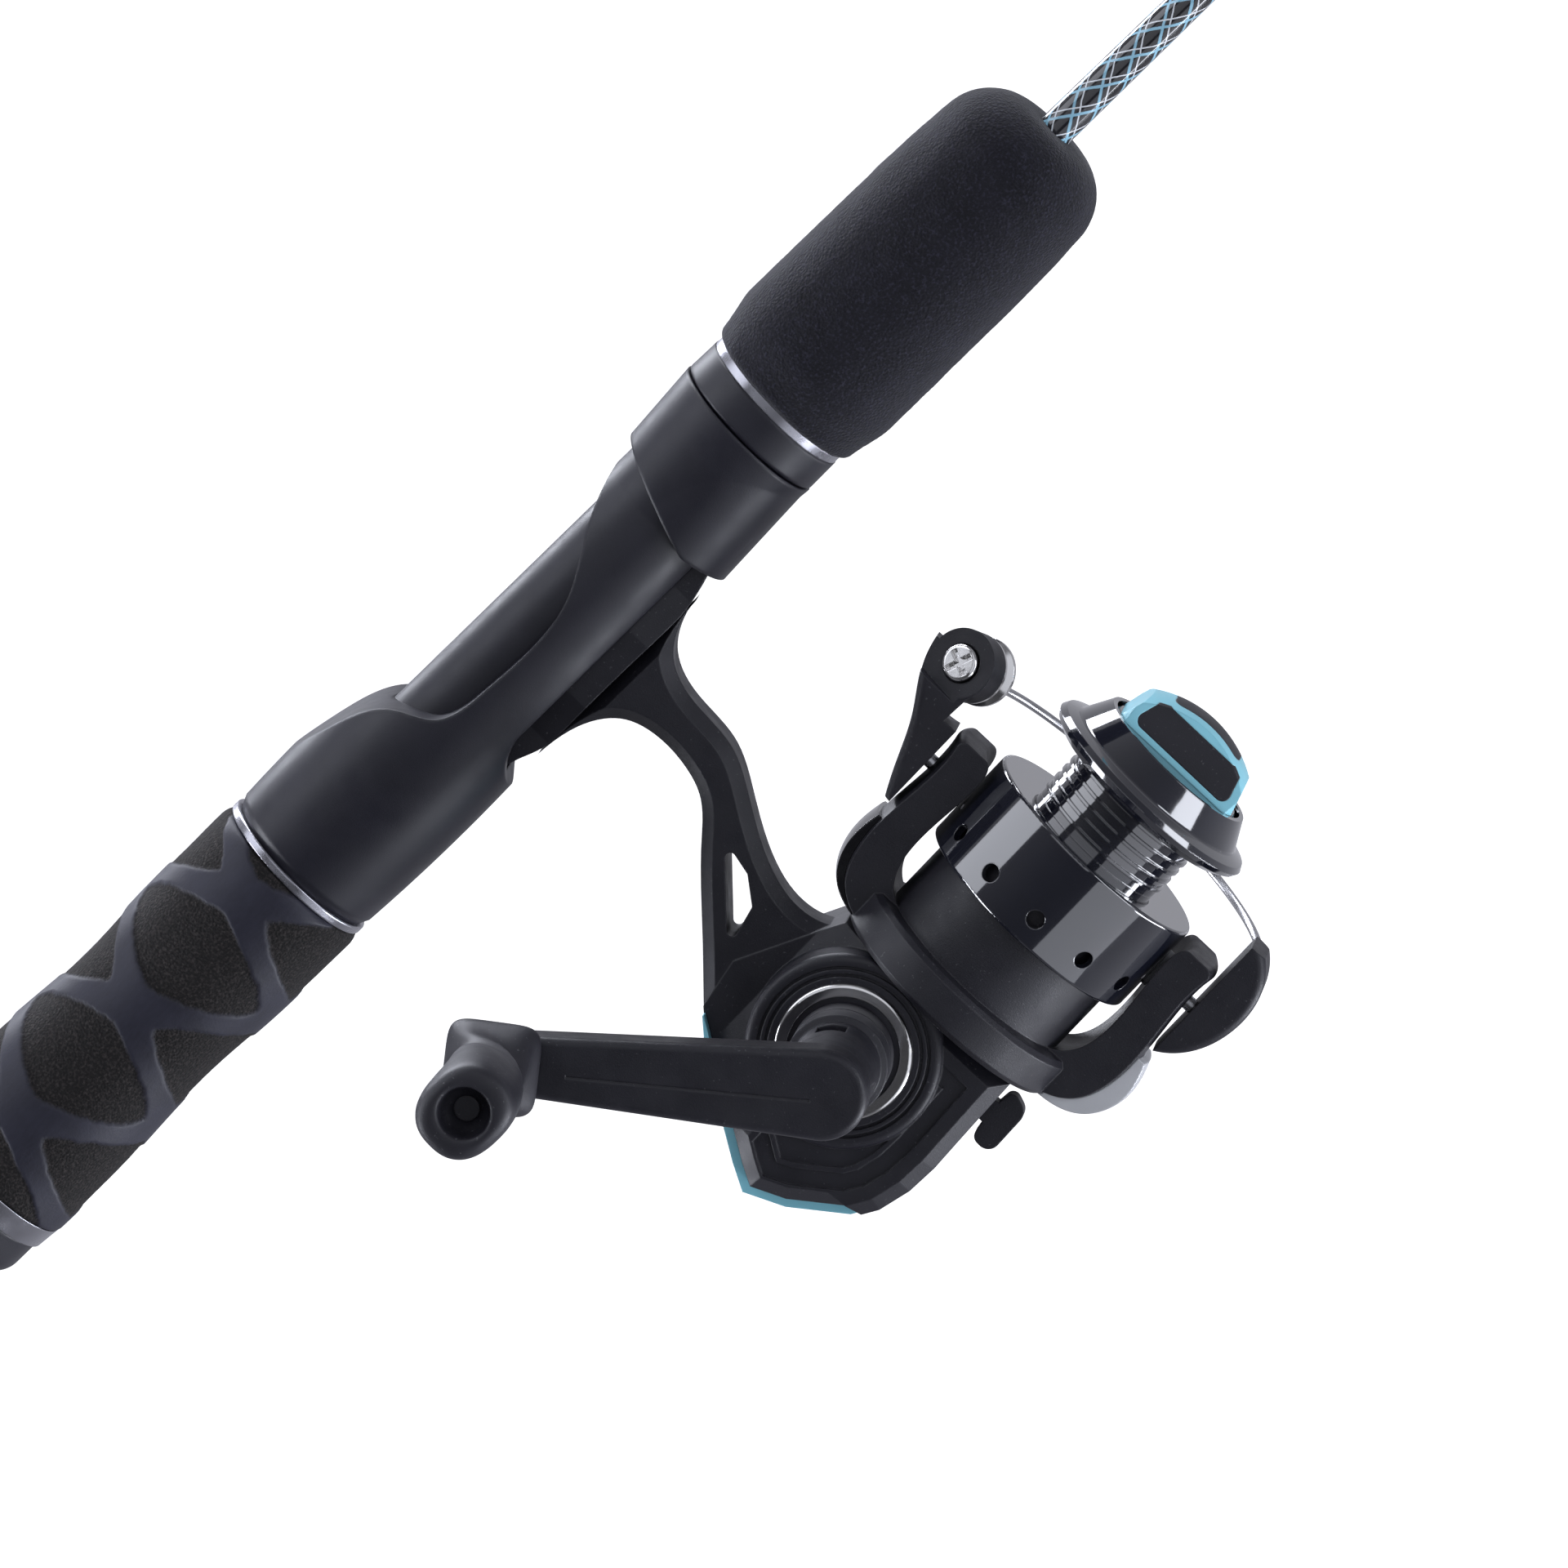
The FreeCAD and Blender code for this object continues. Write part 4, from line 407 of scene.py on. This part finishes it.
def thread_wrap(name):
    """Black thread wound side by side under clear epoxy."""
    paint = surface(name, (0.012, 0.012, 0.016), 0.12, grain=0.8, relief=0.01, edge=0.3, edge_wear_and_highlight=0.1,
                    coat=1.0)
    x, _, _ = paint.split()
    ridges = paint.math("SINE", paint.math("MULTIPLY", x, 2 * math.pi / (0.28 * MM)))
    paint.bump([(ridges, 0.02)])
    return paint


def anodised(name, colour):
    """Dark polished metal under a hard clear skin, with sharp bluish reflections."""
    paint = surface(name, colour, 0.06, grain=1.5, relief=0.002, edge=0.25, edge_wear_and_highlight=0.25, coat=1.0,
                    spread=0.015)
    paint.set(IOR=2.1)
    return paint


def make_materials():
    turned_marks = (30.0, 1.0, 1.0)
    return {
        "eva_black": grip_foam("eva_black", (0.0080, 0.0078, 0.0125)),
        "eva_patterned": banded_grip("eva_patterned", (0.0085, 0.0072, 0.0070), (0.0185, 0.0185, 0.031)),
        "trim_metal": surface("trim_metal", (0.42, 0.42, 0.46), 0.24, grain=0.3, relief=0.003,
                              metallic=1.0, brushed=turned_marks, mottle=0.06, edge_wear_and_highlight=0.5),
        "seat_plastic": surface("seat_plastic", (0.0098, 0.0094, 0.0165), 0.42, grain=0.18,
                                relief=0.012, edge=0.8, edge_wear_and_highlight=0.30, spread=0.05),
        "blank_gloss": threaded_blank("blank_gloss"),
        "guide_steel": surface("guide_steel", (0.05, 0.05, 0.055), 0.3, metallic=1.0, grain=0.3,
                               relief=0.004, edge=0.15),
        "guide_ceramic": surface("guide_ceramic", (0.03, 0.03, 0.034), 0.1, grain=0.6, relief=0.003,
                                 coat=0.6, edge=0.2),
        "wrap_epoxy": thread_wrap("wrap_epoxy"),
        "reel_plastic": surface("reel_plastic", (0.0102, 0.0098, 0.0150), 0.44, grain=0.22,
                                relief=0.022, edge=0.35, edge_wear_and_highlight=0.35, dust=0.12),
        "reel_gloss": surface("reel_gloss", (0.006, 0.006, 0.008), 0.12, grain=1.2, relief=0.006,
                              edge=0.4, edge_wear_and_highlight=0.1, coat=0.8),
        "spool_metal": anodised("spool_metal", (0.008, 0.009, 0.016)),
        "accent": surface("accent", (0.27, 0.66, 0.78), 0.34, grain=0.5, relief=0.006, mottle=0.05,
                          edge=0.3, edge_wear_and_highlight=0.15, coat=0.2),
        "chrome": surface("chrome", (0.80, 0.79, 0.78), 0.12, grain=2.0, relief=0.002, metallic=1.0,
                          mottle=0.03, edge=0.2, edge_wear_and_highlight=0.1, spread=0.03),
        "silver_paint": surface("silver_paint", (0.66, 0.67, 0.69), 0.34, grain=0.12, relief=0.004,
                                metallic=0.3, mottle=0.05, edge=0.4, edge_wear_and_highlight=0.2),
        "steel": surface("steel", (0.50, 0.50, 0.52), 0.22, grain=0.25, relief=0.004, metallic=1.0,
                         brushed=turned_marks, edge=0.15),
        "brass": surface("brass", (0.62, 0.42, 0.16), 0.28, grain=0.25, relief=0.005, metallic=1.0,
                         brushed=turned_marks, edge=0.15),
        "zinc": surface("zinc", (0.30, 0.30, 0.32), 0.5, grain=0.3, relief=0.02, metallic=0.9),
        "drag_felt": surface("drag_felt", (0.30, 0.25, 0.18), 0.85, grain=0.15, relief=0.06,
                             mottle=0.3, edge_wear_and_highlight=0.2),
        "clip_grey": surface("clip_grey", (0.16, 0.16, 0.17), 0.35, grain=0.2, relief=0.01, edge=0.3),
        "knob_rubber": surface("knob_rubber", (0.0128, 0.0122, 0.0180), 0.50, grain=0.16, relief=0.02,
                               edge=0.3, edge_wear_and_highlight=0.25, spread=0.06, dust=0.2),
    }


def paint_frame(materials):
    """Every CAD node takes the material of its slot in the record."""
    for row in frame["record"]["subparts"]:
        thing = nodes[row["node"]]
        thing.data.materials.clear()
        thing.data.materials.append(materials[row["material_slot"]].material)
        thing.data.shade_smooth()
        for face in thing.data.polygons:
            face.material_index = 0


def piece_for(node, thing, slot, body, materials):
    """A Blender piece that stands for a CAD node and moves with its body."""
    thing.data.materials.append(materials[slot].material)
    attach(thing, body)
    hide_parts(node)


# ---------------------------------------------------------------- foam grips

FOAM_STEP = 0.32
END_CROWDING = 0.35


def smooth_step(value, low, high):
    share = min(1.0, max(0.0, (value - low) / (high - low)))
    return share * share * (3 - 2 * share)


def through(points, at):
    """A smooth value at a place along a few (place, value) points."""
    for (x0, v0), (x1, v1) in zip(points, points[1:]):
        if at <= x1:
            return v0 + (v1 - v0) * smooth_step(at, x0, x1)
    return points[-1][1]


def end_rounding(x, start, end, rounds):
    """How much a grip's radius drops close to its ends, for rounded shoulders."""
    drop = 0.0
    for distance, radius in ((x - start, rounds[0]), (end - x, rounds[1])):
        if distance < radius:
            inward = radius - max(distance, 0.0)
            drop += radius - math.sqrt(max(radius * radius - inward * inward, 0.0))
    return drop


def foam_body(name, start, end, radius_at, bore, shape_at):
    """A turned foam grip. shape_at gives each point's extra height and its band share."""
    count = int(2 * math.pi * radius_at((start + end) / 2) / FOAM_STEP)
    rows = int((end - start) / FOAM_STEP)
    points, bands = [], []
    stations = [(start, bore)]
    for row in range(rows + 1):
        eased = (end - start) * (0.5 - 0.5 * math.cos(math.pi * row / rows)) * END_CROWDING
        even = (end - start) * row / rows * (1 - END_CROWDING)
        stations.append((start + eased + even, None))
    stations.append((end, bore))
    for x, fixed in stations:
        for step in range(count):
            angle = 2 * math.pi * step / count
            height, band = (0.0, 1.0) if fixed else shape_at(x, angle)
            radius = fixed if fixed else radius_at(x) + height
            points.append(Vector((x, -radius * math.cos(angle), radius * math.sin(angle))) * MM)
            bands.append(band)
    faces = ring_faces(len(stations), count)
    faces.append(tuple(range(count - 1, -1, -1)))
    last = (len(stations) - 1) * count
    faces.append(tuple(range(last, last + count)))
    mesh = bpy.data.meshes.new(name)
    mesh.from_pydata(points, [], faces)
    share = mesh.attributes.new("band", "FLOAT", "POINT")
    share.data.foreach_set("value", bands)
    mesh.update()
    mesh.shade_smooth()
    thing = bpy.data.objects.new(name, mesh)
    bpy.context.scene.collection.objects.link(thing)
    return thing


LOZENGE_PITCH = 23.45
LOZENGE_HALF_LENGTH = 8.0
LOZENGE_HALF_ANGLE = math.radians(67)
LOZENGE_LEAN = math.radians(14)
LOZENGE_FROM_END = 17.4
BAND_HEIGHT = 0.28
GRIP_MIDDLE_RADIUS = 14


def lozenge_depth(x, angle, end):
    """Above 1 outside every lozenge, below 1 inside the nearest one."""
    nearest = 9.0
    for offset in (0, 1):
        centre = end - LOZENGE_FROM_END + offset * LOZENGE_PITCH / 2
        along = (x - centre + LOZENGE_PITCH / 2) % LOZENGE_PITCH - LOZENGE_PITCH / 2
        turn = angle - LOZENGE_LEAN - offset * math.pi / 2
        turn = (turn + math.pi / 2) % math.pi - math.pi / 2
        u, v = abs(along) / LOZENGE_HALF_LENGTH, abs(turn) / LOZENGE_HALF_ANGLE
        nearest = min(nearest, (u ** 1.35 + v ** 1.15) ** (1 / 1.2))
    return nearest


def make_rear_grip(materials):
    low, high = box("rear_grip")
    start, end = low.x, high.x
    full = high.z
    profile = [(start, full - 0.25), (start + 10, full - 0.25), (start + 32, full - 1.25),
               (end - 14, full - 0.55), (end, full - 0.45)]

    def radius_at(x):
        return through(profile, x) - end_rounding(x, start, end, (0.9, 2.2)) * 0.5

    def shape_at(x, angle):
        spot = Vector((x, GRIP_MIDDLE_RADIUS * math.cos(angle), GRIP_MIDDLE_RADIUS * math.sin(angle)))
        ragged = noise.noise(spot * 0.55) * 0.035 + noise.noise(spot * 1.9) * 0.015
        depth = lozenge_depth(x, angle, end) + ragged
        band = smooth_step(depth, 0.965, 1.035)
        rough = noise.noise(spot * 2.6) * 0.035 * (1 - band)
        swell = noise.noise(spot * 0.16) * 0.06
        return BAND_HEIGHT * (band - 1.0) + rough + swell, band

    grip = foam_body("rear_grip_foam", start + 0.02, end - 0.02, radius_at, 4.0, shape_at)
    piece_for("rear_grip", grip, "eva_patterned", "rod", materials)


def make_foregrip(materials):
    low, high = box("foregrip")
    start, end = low.x, high.x
    full = high.z
    rear = box("foregrip_trim_ring")[1].z
    profile = [(start, rear + 0.9), (start + 8, full - 0.05), (end - 22, full - 0.15),
               (end, full - 1.0)]

    def radius_at(x):
        return through(profile, x) - end_rounding(x, start, end, (1.2, 8.6))

    def shape_at(x, angle):
        spot = Vector((x, GRIP_MIDDLE_RADIUS * math.cos(angle), GRIP_MIDDLE_RADIUS * math.sin(angle)))
        height = noise.noise(spot * 2.2) * 0.05 + noise.noise(spot * 0.3) * 0.08
        return height, 0.0

    grip = foam_body("foregrip_foam", start + 0.02, end - 0.02, radius_at, 3.5, shape_at)
    piece_for("foregrip", grip, "eva_black", "foregrip", materials)


# ---------------------------------------------------------------- handle knob

KNOB_COUNT = 96
KNOB_ARM_ANGLE = math.radians(128.5)
KNOB_HOLE = 3.65
KNOB_HOLE_DEPTH = 4.0
KNOB_PIN_ROOM = 2.1


def knob_ring(y, half_x, half_z, power, turn):
    """One closed section of the knob: a superellipse, turned about the pin's axis."""
    ring = []
    for step in range(KNOB_COUNT):
        a = 2 * math.pi * step / KNOB_COUNT
        c, s = math.cos(a), math.sin(a)
        x = half_x * math.copysign(abs(c) ** (2 / power), c)
        z = half_z * math.copysign(abs(s) ** (2 / power), s)
        ring.append(Vector((x * math.cos(turn) - z * math.sin(turn), y,
                            x * math.sin(turn) + z * math.cos(turn))))
    return ring


def make_handle_knob(materials):
    """A flattened paddle on a squarish foot, with the pin's hole in its near end."""
    low, high = box("handle_knob")
    centre = (low + high) / 2
    near, far = low.y, high.y
    length = far - near
    tilt = KNOB_ARM_ANGLE
    # Each row is y, half the width along x and z, the superellipse's power and its turn.
    rows = [
        (near + KNOB_HOLE_DEPTH, KNOB_HOLE, KNOB_HOLE, 2.0, 0),
        (near + 0.6, KNOB_HOLE, KNOB_HOLE, 2.0, 0),
        (near + 0.1, KNOB_HOLE + 0.35, KNOB_HOLE + 0.35, 2.0, 0),
        (near, KNOB_HOLE + 0.9, KNOB_HOLE + 0.9, 2.0, 0),
        (near + 0.1, 6.1, 5.0, 2.3, 0),
        (near + 0.7, 6.9, 5.8, 2.4, 0),
        (near + 1.9, 7.4, 6.3, 2.4, 0),
        (near + 0.16 * length, 7.7, 6.5, 2.5, 0),
        (near + 0.36 * length, 7.6, 6.3, 2.6, 0.05 * tilt),
        (near + 0.56 * length, 6.7, 5.7, 2.8, 0.2 * tilt),
        (near + 0.72 * length, 5.7, 5.2, 3.2, 0.5 * tilt),
        (near + 0.82 * length, 5.5, 5.3, 3.8, 0.85 * tilt),
        (near + 0.89 * length, 5.9, 5.8, 4.6, tilt),
        (near + 0.945 * length, 6.8, 6.7, 5.2, tilt),
        (far - 0.7, 7.1, 7.0, 5.4, tilt),
        (far - 0.1, 6.6, 6.5, 5.0, tilt),
        (far, 5.6, 5.5, 4.0, tilt),
        (far, KNOB_PIN_ROOM, KNOB_PIN_ROOM, 2.0, tilt),
        (near + KNOB_HOLE_DEPTH, KNOB_PIN_ROOM, KNOB_PIN_ROOM, 2.0, tilt)]
    points = []
    for y, half_x, half_z, power, turn in rows:
        for spot in knob_ring(y, half_x, half_z, power, turn):
            points.append((Vector((centre.x, 0, centre.z)) + spot) * MM)
    mesh = bpy.data.meshes.new("handle_knob_grip")
    mesh.from_pydata(points, [], ring_faces(len(rows), KNOB_COUNT, closed=True))
    mesh.update()
    mesh.shade_smooth()
    knob = bpy.data.objects.new("handle_knob_grip", mesh)
    bpy.context.scene.collection.objects.link(knob)
    refine = knob.modifiers.new("finer", "SUBSURF")
    refine.levels = refine.render_levels = 1
    piece_for("handle_knob", knob, "knob_rubber", "handle_knob", materials)


# ---------------------------------------------------------------- build

make_camera()
make_world()
make_lights()
make_stage()
bpy.context.scene.view_settings.view_transform = "Standard"
materials = make_materials()
paint_frame(materials)
make_rear_grip(materials)
make_foregrip(materials)
make_handle_knob(materials)
